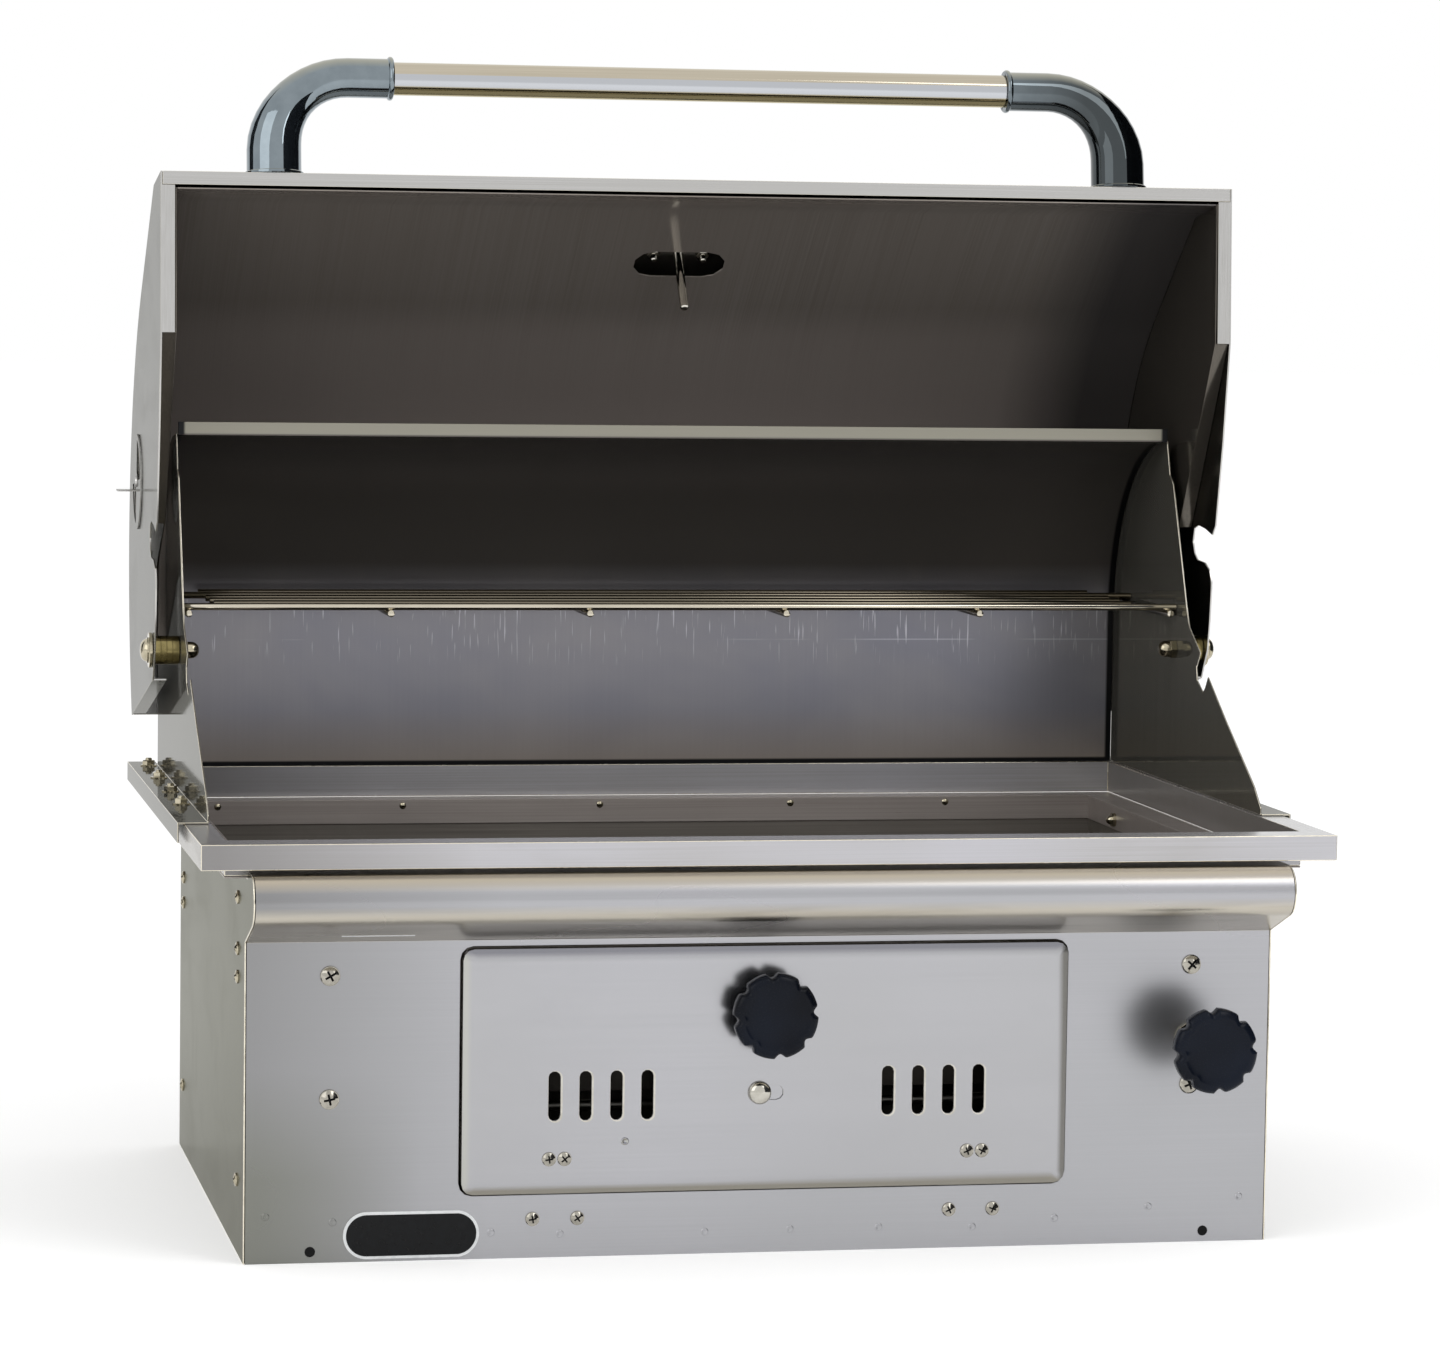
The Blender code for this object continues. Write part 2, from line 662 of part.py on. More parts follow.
def make_warming_rack(chrome):
    """Bars from front to back, welded under cross wires; two of those reach the plates."""
    front, back = TRIM_FRONT + RACK_FRONT_BACK, TRIM_FRONT + RACK_BACK_BACK
    height = TRIM_TOP + RACK_RISE
    upper = height + 2 * RACK_WIRE - RACK_WIRE_SINK
    reach = PLATE_HALF - SHEET - CLEAR
    first = front + RACK_WIRE * 2
    wires = []
    for count in range(RACK_WIRES):
        end = reach if count in RACK_LONG_WIRES else reach - RACK_SHORT_END
        place_y = first + (back - first) * count / (RACK_WIRES - 1)
        wires.append(rod((-end, place_y, upper), (end, place_y, upper), RACK_WIRE))
    bars = []
    for count in range(RACK_BARS):
        x = -RACK_BAR_SPAN / 2 + RACK_BAR_SPAN * count / (RACK_BARS - 1)
        bars.append(rod((x, front, height), (x, back + RACK_WIRE * 2, height), RACK_WIRE))
    rack = add("warming_rack", bars[0], chrome)
    join(rack, *wires, *bars[1:])


def make_hinge_fittings(side, sign, chrome):
    """Bolt with its washer, spacer tube and domed nut on the hood's hinge axis."""
    hinge = (0, HINGE_Y, HINGE_Z)
    out = AXIS_X * sign
    start = HOOD_OUTER + CLEAR
    end = PLATE_HALF - SHEET - NUT_LENGTH * 0.6
    bolt = ((end, BOLT_RADIUS), (start, BOLT_RADIUS), (start, WASHER_RADIUS),
            (start + WASHER, WASHER_RADIUS), (start + WASHER, BOLT_HEAD_RADIUS),
            (start + WASHER + BOLT_HEAD * 0.5, BOLT_HEAD_RADIUS * 0.9),
            (start + WASHER + BOLT_HEAD, BOLT_HEAD_RADIUS * 0.45))
    add("hinge_bolt_" + side, turned(bolt, hinge, out), chrome)
    near, far = PLATE_HALF + CLEAR, HOOD_INNER - CLEAR
    hole = BOLT_RADIUS + CLEAR
    groove = SPACER_RADIUS * 0.93
    step = (far - near) / 4
    tube = [(near, hole), (near, SPACER_RADIUS)]
    for count in (1, 2, 3):
        tube += [(near + step * count - CLEAR, SPACER_RADIUS), (near + step * count, groove),
                 (near + step * count + CLEAR, SPACER_RADIUS)]
    tube += [(far, SPACER_RADIUS), (far, hole)]
    add("hinge_spacer_" + side, turned(tube, hinge, out, closed=True), chrome)
    face = PLATE_HALF - SHEET - CLEAR
    bottom = face - NUT_LENGTH
    nut = ((face - NUT_LENGTH * 0.75, hole), (face, hole), (face, NUT_RADIUS),
           (face - NUT_LENGTH * 0.5, NUT_RADIUS), (bottom + NUT_LENGTH * 0.22, NUT_RADIUS * 0.85),
           (bottom + NUT_LENGTH * 0.06, NUT_RADIUS * 0.55), (bottom, NUT_RADIUS * 0.2))
    add("hinge_nut_" + side, turned(nut, hinge, out, steps=SMALL_STEPS), chrome)


def hood_point(across_share, up_share):
    """A point of the shut hood's side, from shares of its reach about the hinge."""
    rear = hood_rear()
    return at_hinge(across_share, up_share, HOOD_FRONT, rear[0], HOOD_BOTTOM, rear[1])


def wedge(centre, start):
    """One quarter-like air hole of a damper."""
    half = DAMPER_HOLE_ANGLE * 90 / pi
    outer = arc(centre, DAMPER_HOLE_OUTER, start - half, start + half, 6)
    return outer + arc(centre, DAMPER_HOLE_INNER, start + half, start - half, 3)


def make_hood(pivot, steel, liner_steel, chrome):
    line = hood_line()
    half = HOOD_INNER - CLEAR
    lip = (HOOD_FRONT + HOOD_FLANGE, HOOD_BOTTOM)
    skin_piece = add("hood_skin", sheet([lip] + line, "X", -half, half), steel, pivot)
    centre = slant_point(HOOD_SLANT * GAUGE_ALONG_SHARE)
    out = slant_point(0, 1) - slant_point(0)
    cut(skin_piece, rod(centre + out * OVERRUN, centre - out * OVERRUN,
                        STEM_RADIUS + CLEAR))

    inner_half = LINER_SIDE - CLEAR
    inner_line = liner_line()
    liner = add("hood_liner", sheet(inner_line, "X", -inner_half, inner_half),
                liner_steel, pivot)
    slot = []
    for across, up in obround((0, 0), RECESS_LENGTH, RECESS_WIDTH, upright=False):
        spot = slant_point(HOOD_SLANT * GAUGE_ALONG_SHARE + up)
        slot.append(Vector((across, spot.y, spot.z)))
    deep = WALL_SPACE + SHEET + OVERRUN
    cut(liner, skin([[point - out * SHEET * 2 for point in slot],
                     [point - out * deep for point in slot]]))

    edge = [hood_point(*shares) for shares in HOOD_EDGE_SHARES]
    side_outline = line + edge[::-1]
    start = Vector(line[0])
    fold = Vector(edge[0]) - start
    fold_start = start + fold.normalized() * (HOOD_FLANGE + CLEAR)
    corner = Vector(edge[-1])
    flange_end = corner + (Vector(line[-1]) - corner) * REAR_FLANGE_SHARE
    damper_at = hood_point(DAMPER_ACROSS_SHARE, DAMPER_UP_SHARE)
    corners = [hood_point(*shares) for shares in LINER_EDGE_SHARES]
    for side, sign in (("left", -1), ("right", 1)):
        outer_span = on_side(sign, HOOD_INNER, HOOD_OUTER)
        cut_span = on_side(sign, HOOD_INNER - OVERRUN, HOOD_OUTER + OVERRUN)
        panel = add(f"hood_{side}_side", prism(side_outline, "X", *outer_span), steel, pivot)
        hinge_hole = arc((HINGE_Y, HINGE_Z), BOLT_RADIUS + CLEAR, 0, 330, 11)
        pin_hole = arc(damper_at, DAMPER_PIN + CLEAR, 0, 330, 11)
        flange_reach = on_side(sign, LINER_SIDE + SHEET + CLEAR, HOOD_OUTER - SHEET / 2)
        join(panel, sheet([edge[0], fold_start], "X", *flange_reach),
             sheet([flange_end, edge[-1]], "X", *flange_reach))
        cut(panel, prism(hinge_hole, "X", *cut_span), prism(pin_hole, "X", *cut_span),
            *[prism(wedge(damper_at, turn), "X", *cut_span) for turn in DAMPER_HOLE_TURNS])

        span = on_side(sign, LINER_SIDE, LINER_SIDE + SHEET)
        wall = add(f"hood_{side}_liner", prism(inner_line + corners[::-1], "X", *span),
                   liner_steel, pivot)
        reach = on_side(sign, LINER_SIDE + SHEET / 2, HOOD_INNER - CLEAR)
        cut_span = on_side(sign, LINER_SIDE - OVERRUN, LINER_SIDE + SHEET + OVERRUN)
        cut(wall, prism(arc(damper_at, DAMPER_RADIUS * 0.88, 0, 345, 23), "X", *cut_span))
        join(wall, sheet([corners[1], corners[0]], "X", *reach))
        make_damper(side, sign, pivot, damper_at, steel)
    make_handle(pivot, chrome, steel)
    make_thermometer(pivot, centre, out, chrome)


def make_damper(side, sign, hood_pivot, centre, steel):
    """A disc that turns on a rivet through the hood's side to cover two air holes."""
    pivot = pivot_at(f"{side}_damper_axis", (sign * HOOD_OUTER, *centre), hood_pivot)
    near, far = HOOD_OUTER + CLEAR, HOOD_OUTER + CLEAR + DAMPER_SHEET
    edge = arc(centre, DAMPER_RADIUS, 0, 350, 35)
    disc = add(f"{side}_hood_damper", prism(edge, "X", *on_side(sign, near, far)), steel, pivot)
    span = on_side(sign, near - OVERRUN, far + OVERRUN)
    cut(disc, *[prism(wedge(centre, turn), "X", *span) for turn in DAMPER_HOLE_TURNS])
    middle = (near + far) / 2
    rivet = ((HOOD_INNER - CLEAR * 2, DAMPER_PIN), (middle, DAMPER_PIN),
             (middle, DAMPER_PIN_HEAD), (far + SHEET, DAMPER_PIN_HEAD * 0.8))
    down = Vector((cos(DAMPER_LEAN), sin(DAMPER_LEAN)))
    along = Vector((-down.y, down.x)) * DAMPER_TAB_WIDTH / 2
    root = Vector(centre) + down * DAMPER_TAB_DROP
    tab = prism([root - along, root + along, root + along + down * DAMPER_SHEET,
                 root - along + down * DAMPER_SHEET], "X",
                *on_side(sign, near + DAMPER_SHEET / 4, far + DAMPER_TAB))
    join(disc, turned(rivet, (0, *centre), AXIS_X * sign, steps=SMALL_STEPS), tab)


def make_handle(pivot, chrome, steel):
    height = HOOD_BOTTOM + HANDLE_RISE
    band = HOOD_FRONT + HOOD_BAND_LEAN * HANDLE_RISE / HOOD_BAND
    line_y = band - HANDLE_REACH
    bore = HANDLE_RADIUS - HANDLE_WALL
    ends = HANDLE_HALF - CLEAR
    tube = ((-ends, bore), (-ends, HANDLE_RADIUS), (ends, HANDLE_RADIUS), (ends, bore))
    add("handle_tube", turned(tube, (0, line_y, height), AXIS_X, closed=True), steel, pivot)
    for side, sign in (("left", -1), ("right", 1)):
        path = elbow_path(sign, band, line_y, height)
        rings = [circle(point, way, radius, ROUND_STEPS) for point, way, radius in path]
        add("handle_elbow_" + side, skin(aligned(rings)), chrome, pivot)


def elbow_path(sign, band, line_y, height):
    """Rings of an elbow: base, a tapered quarter bend, a bead and a spigot for the tube."""
    base_x = sign * ELBOW_HALF_SPAN
    seat = band - HOOD_BAND_LEAN / 2
    forward = Vector((0, -1, 0))
    inward = Vector((-sign, 0, 0))
    foot = ELBOW_BASE_RADIUS * ELBOW_FOOT_SHARE
    path = [(seat, ELBOW_BASE_RADIUS), (seat - SHEET * 2, ELBOW_BASE_RADIUS),
            (seat - SHEET * 2, foot)]
    rings = [(Vector((base_x, y, height)), forward, radius) for y, radius in path]
    centre = Vector((base_x - sign * ELBOW_BEND, line_y + ELBOW_BEND, height))
    steps = len(ELBOW_TAPER_SHARES) - 1
    for count, share in enumerate(ELBOW_TAPER_SHARES):
        turn = pi / 2 * count / steps
        spot = centre + Vector((sign * ELBOW_BEND * cos(turn), -ELBOW_BEND * sin(turn), 0))
        radius = ELBOW_END_RADIUS + (foot - ELBOW_END_RADIUS) * share
        rings.append((spot, forward * cos(turn) + inward * sin(turn), radius))
    start = HANDLE_HALF + BEAD_LENGTH
    bore = HANDLE_RADIUS - HANDLE_WALL - CLEAR
    ends = [(start, ELBOW_END_RADIUS), (start, BEAD_RADIUS * 0.95),
            (start - BEAD_LENGTH * 0.3, BEAD_RADIUS), (start - BEAD_LENGTH * 0.7, BEAD_RADIUS),
            (HANDLE_HALF, BEAD_RADIUS * 0.95), (HANDLE_HALF, bore),
            (HANDLE_HALF - SPIGOT_LENGTH, bore)]
    return rings + [(Vector((sign * x, line_y, height)), inward, radius)
                    for x, radius in ends]


def aligned(rings):
    """Turn each ring's start so that it faces the start of the ring before."""
    done = [rings[0]]
    for ring in rings[1:]:
        before = done[-1]
        centre = sum(ring, Vector()) / len(ring)
        back = sum(before, Vector()) / len(before)
        aim = (before[0] - back).normalized()
        best = max(range(len(ring)), key=lambda count: (ring[count] - centre).dot(aim))
        done.append(ring[best:] + ring[:best])
    return done


def make_thermometer(hood_pivot, centre, out, chrome):
    white = material("dial_white", (0.85, 0.85, 0.83), 0.5, 0.0)
    red = material("needle_red", (0.6, 0.05, 0.04), 0.4, 0.0)
    clear = material("gauge_glass", (0.9, 0.93, 0.93), 0.05, 0.0)
    hole = STEM_RADIUS + CLEAR
    well = GAUGE_RADIUS - GAUGE_WALL
    case = ((CLEAR, hole), (CLEAR, GAUGE_RADIUS), (GAUGE_DEPTH, GAUGE_RADIUS),
            (GAUGE_DEPTH, well), (CLEAR + GAUGE_WALL, well), (CLEAR + GAUGE_WALL, hole))
    add("thermometer_case", turned(case, centre, out, closed=True, steps=24),
        chrome, hood_pivot)
    stem_top = CLEAR + GAUGE_WALL
    add("thermometer_stem", rod(centre + out * stem_top, centre + out * (stem_top - STEM_LENGTH),
                                STEM_RADIUS), chrome, hood_pivot)
    dial_low = stem_top + CLEAR
    dial_top = dial_low + DIAL_SHEET
    rim = well - CLEAR
    eye = ARBOR_RADIUS + CLEAR
    dial = ((dial_low, eye), (dial_low, rim), (dial_top, rim), (dial_top, eye))
    add("thermometer_dial", turned(dial, centre, out, closed=True, steps=24), white, hood_pivot)
    glass_low = GAUGE_DEPTH - GLASS * 2
    add("thermometer_glass", turned(((glass_low, rim), (glass_low + GLASS, rim)),
                                    centre, out, steps=24), clear, hood_pivot)
    needle_pivot = pivot_at("needle_axis", centre, hood_pivot)
    across, up = AXIS_X, out.cross(AXIS_X).normalized()
    low, high = dial_top + CLEAR, dial_top + CLEAR + DIAL_SHEET
    outline = [across * -NEEDLE_TAIL, up * NEEDLE_RADIUS, across * NEEDLE_LENGTH,
               up * -NEEDLE_RADIUS]
    pointer = skin([[centre + out * level + point for point in outline]
                    for level in (low, high)])
    needle = add("thermometer_needle", pointer, red, needle_pivot)
    join(needle, rod(centre + out * (dial_low + CLEAR), centre + out * (high + CLEAR),
                     ARBOR_RADIUS))


def door_ring(inset, y, radius):
    """A round-cornered loop of the door at one depth."""
    outline = round_rectangle(DOOR_WIDTH / 2 - inset, DOOR_BOTTOM + inset,
                              DOOR_BOTTOM + DOOR_HEIGHT - inset, radius)
    return [Vector((x, y, z)) for x, z in outline]


def make_door(pivot, steel, chrome, black, dark_steel):
    rim = FRONT + DOOR_RIM
    edge = DOOR_FACE + DOOR_BEVEL
    small = DOOR_CORNER - SHEET
    tiny = DOOR_CORNER / 4
    pan = skin([door_ring(DOOR_BORDER, DOOR_FACE, tiny), door_ring(0, edge, DOOR_CORNER),
                door_ring(0, rim, DOOR_CORNER), door_ring(SHEET, rim, small),
                door_ring(SHEET, edge + SHEET, small),
                door_ring(DOOR_BORDER, DOOR_INNER, tiny)])
    door = add("door_panel", pan, steel, pivot)
    span = (DOOR_FACE - OVERRUN, DOOR_INNER + OVERRUN / 2)
    louvre_z = DOOR_BOTTOM + LOUVRE_RISE
    cuts = [prism(obround((x, louvre_z), LOUVRE_HEIGHT, LOUVRE_WIDTH), "Y", *span)
            for x in louvre_places()]
    cuts.append(prism(obround((0, louvre_z), STUD_SLOT, STUD_SLOT_HEIGHT, False), "Y", *span))
    cuts.append(prism(arc((0, LATCH_Z), SHAFT_RADIUS + CLEAR * 2, 0, 330, 11), "Y", *span))
    inside = DOOR_FACE + DOOR_BEVEL + SHEET / 2
    for sign in (-1, 1):
        middle = sign * HINGE_SPACING / 2
        reach = HINGE_LEAF / 2 + DOOR_GAP
        cuts.append(box((middle - reach, middle + reach), (inside, rim + OVERRUN),
                        (DOOR_BOTTOM - OVERRUN, DOOR_BOTTOM + SHEET * 3)))
    cut(door, *cuts)
    make_air_slide(pivot, louvre_z, dark_steel, chrome)
    make_latch(pivot, black, chrome)
    for side, sign in (("left", -1), ("right", 1)):
        make_door_hinge(side, sign * HINGE_SPACING / 2, pivot, steel)


def louvre_places():
    return [sign * (LOUVRE_FIRST + LOUVRE_PITCH * count)
            for sign in (-1, 1) for count in range(LOUVRES_A_SIDE)]


def make_air_slide(pivot, louvre_z, steel, chrome):
    """A slotted plate behind the door's air holes, its two guides and its stud."""
    slide_pivot = pivot_at("air_slide_axis", (0, DOOR_INNER, louvre_z), pivot)
    near = DOOR_INNER + CLEAR
    far = near + SLIDE_SHEET
    end = LOUVRE_FIRST + LOUVRE_PITCH * (LOUVRES_A_SIDE - 1) + LOUVRE_WIDTH / 2 + SLIDE_END
    half = SLIDE_HEIGHT / 2
    slide = add("air_slide", box((-end, end), (near, far), (louvre_z - half, louvre_z + half)),
                steel, slide_pivot)
    span = (near - OVERRUN, far + OVERRUN)
    stud_x = -AIR_TRAVEL * 0.55
    cuts = [prism(obround((x, louvre_z), LOUVRE_HEIGHT, LOUVRE_WIDTH), "Y", *span)
            for x in louvre_places()]
    cuts.append(prism(arc((stud_x, louvre_z), STUD_SHANK + CLEAR, 0, 330, 11), "Y", *span))
    cut(slide, *cuts)
    top = DOOR_FACE - CLEAR
    stud = ((top - STUD_HEIGHT, STUD_RADIUS * 0.35), (top - STUD_HEIGHT * 0.8, STUD_RADIUS * 0.7),
            (top - STUD_HEIGHT * 0.4, STUD_RADIUS), (top, STUD_RADIUS), (top, STUD_SHANK),
            (far + SLIDE_SHEET, STUD_SHANK))
    add("air_slide_stud", turned(stud, (stud_x, 0, louvre_z), AXIS_Y), chrome, slide_pivot)
    for name, sign in (("lower", -1), ("upper", 1)):
        inner = louvre_z + sign * (half + CLEAR)
        outer = inner + sign * GUIDE_STRIP
        lip = inner - sign * (GUIDE_OVERLAP + CLEAR)
        back = far + CLEAR
        outline = [(near, inner), (near, outer), (back + SLIDE_SHEET, outer),
                   (back + SLIDE_SHEET, lip), (back, lip), (back, inner)]
        add("slide_guide_" + name,
            prism(outline, "X", -end - AIR_TRAVEL * 2, end + AIR_TRAVEL * 2), steel, pivot)


def star(turn, radius):
    """Radius of a knob's edge at one angle: round lobes with narrow scallops between."""
    lobe = 2 * pi / KNOB_LOBES
    away = abs((turn - KNOB_TURN + lobe / 2) % lobe - lobe / 2) / (lobe * KNOB_SCALLOP_SHARE / 2)
    dip = (1 + cos(pi * min(away, 1))) / 2
    return radius - KNOB_LOBE_DEPTH * dip * radius / KNOB_RADIUS


def star_knob(face_y, x, z):
    """A lobed knob with a blind bore at its back; its face points to -Y."""
    steps = KNOB_LOBES * 6
    back = face_y + KNOB_DEPTH
    bore = SHAFT_RADIUS + CLEAR
    edge = KNOB_DEPTH * 0.22
    rings = [(back - KNOB_DEPTH * 0.6, bore, None), (back, bore, None),
             (back, KNOB_HUB, None), (back - KNOB_DEPTH * 0.25, KNOB_HUB, None),
             (back - KNOB_DEPTH * 0.25, KNOB_RADIUS * 0.9, star),
             (back - KNOB_DEPTH * 0.35, KNOB_RADIUS, star),
             (face_y + edge, KNOB_RADIUS, star),
             (face_y + edge * 0.3, KNOB_RADIUS * 0.94, star),
             (face_y, KNOB_RADIUS * 0.8, star)]
    return skin([circle(Vector((x, y, z)), AXIS_Y, radius, steps, wave)
                 for y, radius, wave in rings])


def make_latch(pivot, black, chrome):
    """Knob, shaft and a cam that turns up behind the front panel's edge."""
    latch_pivot = pivot_at("latch_axis", (0, DOOR_FACE, LATCH_Z), pivot)
    face = FRONT - DOOR_KNOB_REACH
    add("door_knob", star_knob(face, 0, LATCH_Z), black, latch_pivot)
    cam_front = FRONT + DOOR_RIM + CLEAR
    cam_back = cam_front + SHEET * 2
    knob_back = face + KNOB_DEPTH
    collar = DOOR_FACE - CLEAR
    shaft = ((knob_back - KNOB_DEPTH * 0.5, SHAFT_RADIUS), (collar - COLLAR, SHAFT_RADIUS),
             (collar - COLLAR, COLLAR_RADIUS), (collar, COLLAR_RADIUS),
             (collar, SHAFT_RADIUS), (cam_back + SHEET, SHAFT_RADIUS))
    add("latch_shaft", turned(shaft, (0, 0, LATCH_Z), AXIS_Y), chrome, latch_pivot)
    hole = SHAFT_RADIUS + CLEAR
    start = DOOR_INNER + CLEAR
    hub = ((start, hole), (start, LATCH_HUB), (cam_back, LATCH_HUB), (cam_back, hole))
    cam = add("latch_cam", turned(hub, (0, 0, LATCH_Z), AXIS_Y, closed=True), chrome,
              latch_pivot)
    inner = (LATCH_HUB + hole) / 2
    join(cam, box((-CAM_LENGTH, -inner), (cam_front, cam_back - SHEET / 2),
                  (LATCH_Z - CAM_WIDTH / 2, LATCH_Z + CAM_WIDTH / 2)))
    cut(cam, rod((0, start - OVERRUN / 4, LATCH_Z), (0, cam_back + OVERRUN, LATCH_Z), hole,
                 steps=ROUND_STEPS))


def knuckle(span):
    """A hinge knuckle with its bore on the door's axis."""
    bore = PIN_RADIUS + CLEAR
    profile = ((span[0], bore), (span[0], KNUCKLE_RADIUS), (span[1], KNUCKLE_RADIUS),
               (span[1], bore))
    return turned(profile, (0, DOOR_AXIS_Y, DOOR_AXIS_Z), AXIS_X, closed=True,
                  steps=SMALL_STEPS)


def make_door_hinge(side, middle, pivot, steel):
    """Leaf that reaches from behind the panel through a notch in the door's lower flange,
    with its pin, and a strap on the inside of the door."""
    half = HINGE_LEAF / 2
    end = HINGE_LEAF * HINGE_KNUCKLE_SHARE
    behind = FRONT + SHEET + CLEAR
    floor = DOOR_AXIS_Z - KNUCKLE_RADIUS
    leaf_top = floor + HINGE_SHEET
    leaf = add("door_hinge_" + side,
               box((middle - half, middle + half), (behind, behind + HINGE_SHEET),
                   (leaf_top - HINGE_LEAF_DROP, leaf_top)), steel)
    spans = ((middle - half, middle - half + end), (middle + half - end, middle + half))
    parts = []
    for span in spans:
        parts.append(box((span[0] + CLEAR, span[1] - CLEAR),
                         (DOOR_AXIS_Y, behind + HINGE_SHEET / 2),
                         (floor + HINGE_SHEET / 8, leaf_top - HINGE_SHEET / 8)))
        parts.append(rod((span[0], DOOR_AXIS_Y, DOOR_AXIS_Z), (span[1], DOOR_AXIS_Y, DOOR_AXIS_Z),
                         KNUCKLE_RADIUS))
    parts.append(rod((middle - half + end / 2, DOOR_AXIS_Y, DOOR_AXIS_Z),
                     (middle + half - end / 2, DOOR_AXIS_Y, DOOR_AXIS_Z), PIN_RADIUS))
    join(leaf, *parts)

    strap_half = half - end - CLEAR
    front = DOOR_AXIS_Y - KNUCKLE_RADIUS
    strap_top = DOOR_AXIS_Z + HINGE_STRAP_RISE
    strap = add("door_strap_" + side,
                box((middle - strap_half, middle + strap_half), (front, front + HINGE_SHEET),
                    (DOOR_AXIS_Z, strap_top)), steel, pivot)
    pad = box((middle - half + end, middle + half - end),
              (DOOR_INNER + CLEAR, front + HINGE_SHEET / 2),
              (strap_top - HINGE_STRAP_RISE / 2, strap_top - CLEAR))
    bore = rod((middle - half, DOOR_AXIS_Y, DOOR_AXIS_Z), (middle + half, DOOR_AXIS_Y, DOOR_AXIS_Z),
               PIN_RADIUS + CLEAR)
    join(strap, pad, rod((middle - strap_half, DOOR_AXIS_Y, DOOR_AXIS_Z),
                         (middle + strap_half, DOOR_AXIS_Y, DOOR_AXIS_Z), KNUCKLE_RADIUS))
    cut(strap, bore)


def cam_slots():
    """Ends of the two slanted slots that lift the tray's pins."""
    return [((y, TRAY_PIN_HEIGHT), (y - LIFT_RUN, TRAY_PIN_HEIGHT + LIFT_RISE))
            for y in (-TRAY_PIN_FRONT, TRAY_PIN_BACK)]


def make_lift(steel, dark_steel, chrome, black):
    crank_pivot = pivot_at("crank_axis", (CRANK_SIDE, FRONT, CRANK_HEIGHT))
    face = FRONT - CRANK_REACH
    add("crank_knob", star_knob(face, CRANK_SIDE, CRANK_HEIGHT), black, crank_pivot)
    knob_back = face + KNOB_DEPTH
    bush_front = FRONT - BUSH_FLANGE_LENGTH
    collar = bush_front - CLEAR
    screw = ((knob_back - KNOB_DEPTH * 0.5, SHAFT_RADIUS), (collar - COLLAR, SHAFT_RADIUS),
             (collar - COLLAR, COLLAR_RADIUS), (collar, COLLAR_RADIUS), (collar, SHAFT_RADIUS),
             (LINER_BACK - CLEAR * 2, SHAFT_RADIUS))
    place_on_axis = (CRANK_SIDE, 0, CRANK_HEIGHT)
    add("lift_screw", turned(screw, place_on_axis, AXIS_Y), chrome, crank_pivot)
    hole = SHAFT_RADIUS + CLEAR
    seat = FRONT - CLEAR
    bush = ((bush_front, hole), (bush_front, BUSH_FLANGE), (seat, BUSH_FLANGE),
            (seat, BUSH_RADIUS), (LINER_FRONT + SHEET * 3, BUSH_RADIUS),
            (LINER_FRONT + SHEET * 3, hole))
    add("crank_bushing", turned(bush, place_on_axis, AXIS_Y, closed=True), chrome)

    carriage = pivot_at("carriage_axis", (0, 0, CROSS_BAR_HEIGHT))
    for side, sign in (("left", -1), ("right", 1)):
        make_guide(side, sign, dark_steel)
        make_cam_plate(side, sign, carriage, dark_steel)
    cam_outer = GUIDE_SIDE + SHEET + CAM_GAP + CAM_SHEET
    reach = cam_outer + SHEET
    for name, y in (("front", -CROSS_BAR_FRONT), ("back", CROSS_BAR_BACK)):
        add("cross_bar_" + name, rod((-reach, y, CROSS_BAR_HEIGHT), (reach, y, CROSS_BAR_HEIGHT),
                                     CROSS_BAR_RADIUS), steel, carriage)


def make_guide(side, sign, steel):
    """Fixed plate with upright slots for the tray's pins and level slots for the bars."""
    front, back = LINER_FRONT + CLEAR, LINER_BACK - CLEAR
    span = on_side(sign, GUIDE_SIDE, GUIDE_SIDE + SHEET)
    levels = (GUIDE_BOTTOM, GUIDE_TOP)
    guide = add("lift_guide_" + side, box(span, (front, back), levels), steel)
    flange = on_side(sign, GUIDE_SIDE + SHEET / 2, GUIDE_SIDE + GUIDE_FLANGE)
    inner = (GUIDE_BOTTOM + SHEET / 4, GUIDE_TOP - SHEET / 4)
    cut_span = on_side(sign, GUIDE_SIDE - OVERRUN, GUIDE_SIDE + SHEET + OVERRUN)
    join(guide, box(flange, (front + SHEET / 8, front + SHEET), inner),
         box(flange, (back - SHEET, back - SHEET / 8), inner))
    pin = TRAY_PIN_RADIUS + SLOT_CLEAR
    bar = CROSS_BAR_RADIUS + SLOT_CLEAR
    cuts = []
    for y in (-TRAY_PIN_FRONT, TRAY_PIN_BACK):
        outline = slanted_slot((y, TRAY_PIN_HEIGHT), (y, TRAY_PIN_HEIGHT + LIFT_RISE), pin)
        cuts.append(prism(outline, "X", *cut_span))
    for y in (-CROSS_BAR_FRONT, CROSS_BAR_BACK):
        outline = slanted_slot((y, CROSS_BAR_HEIGHT), (y + LIFT_RUN, CROSS_BAR_HEIGHT), bar)
        cuts.append(prism(outline, "X", *cut_span))
    if sign > 0:
        crank = (CRANK_SIDE, CRANK_HEIGHT)
        cuts.append(prism(arc(crank, BUSH_RADIUS + CLEAR, 0, 345, 23), "Y",
                          front - OVERRUN, front + OVERRUN))
        cuts.append(prism(arc(crank, SHAFT_RADIUS + CLEAR, 0, 330, 11), "Y",
                          back - OVERRUN, back + OVERRUN))
    cut(guide, *cuts)


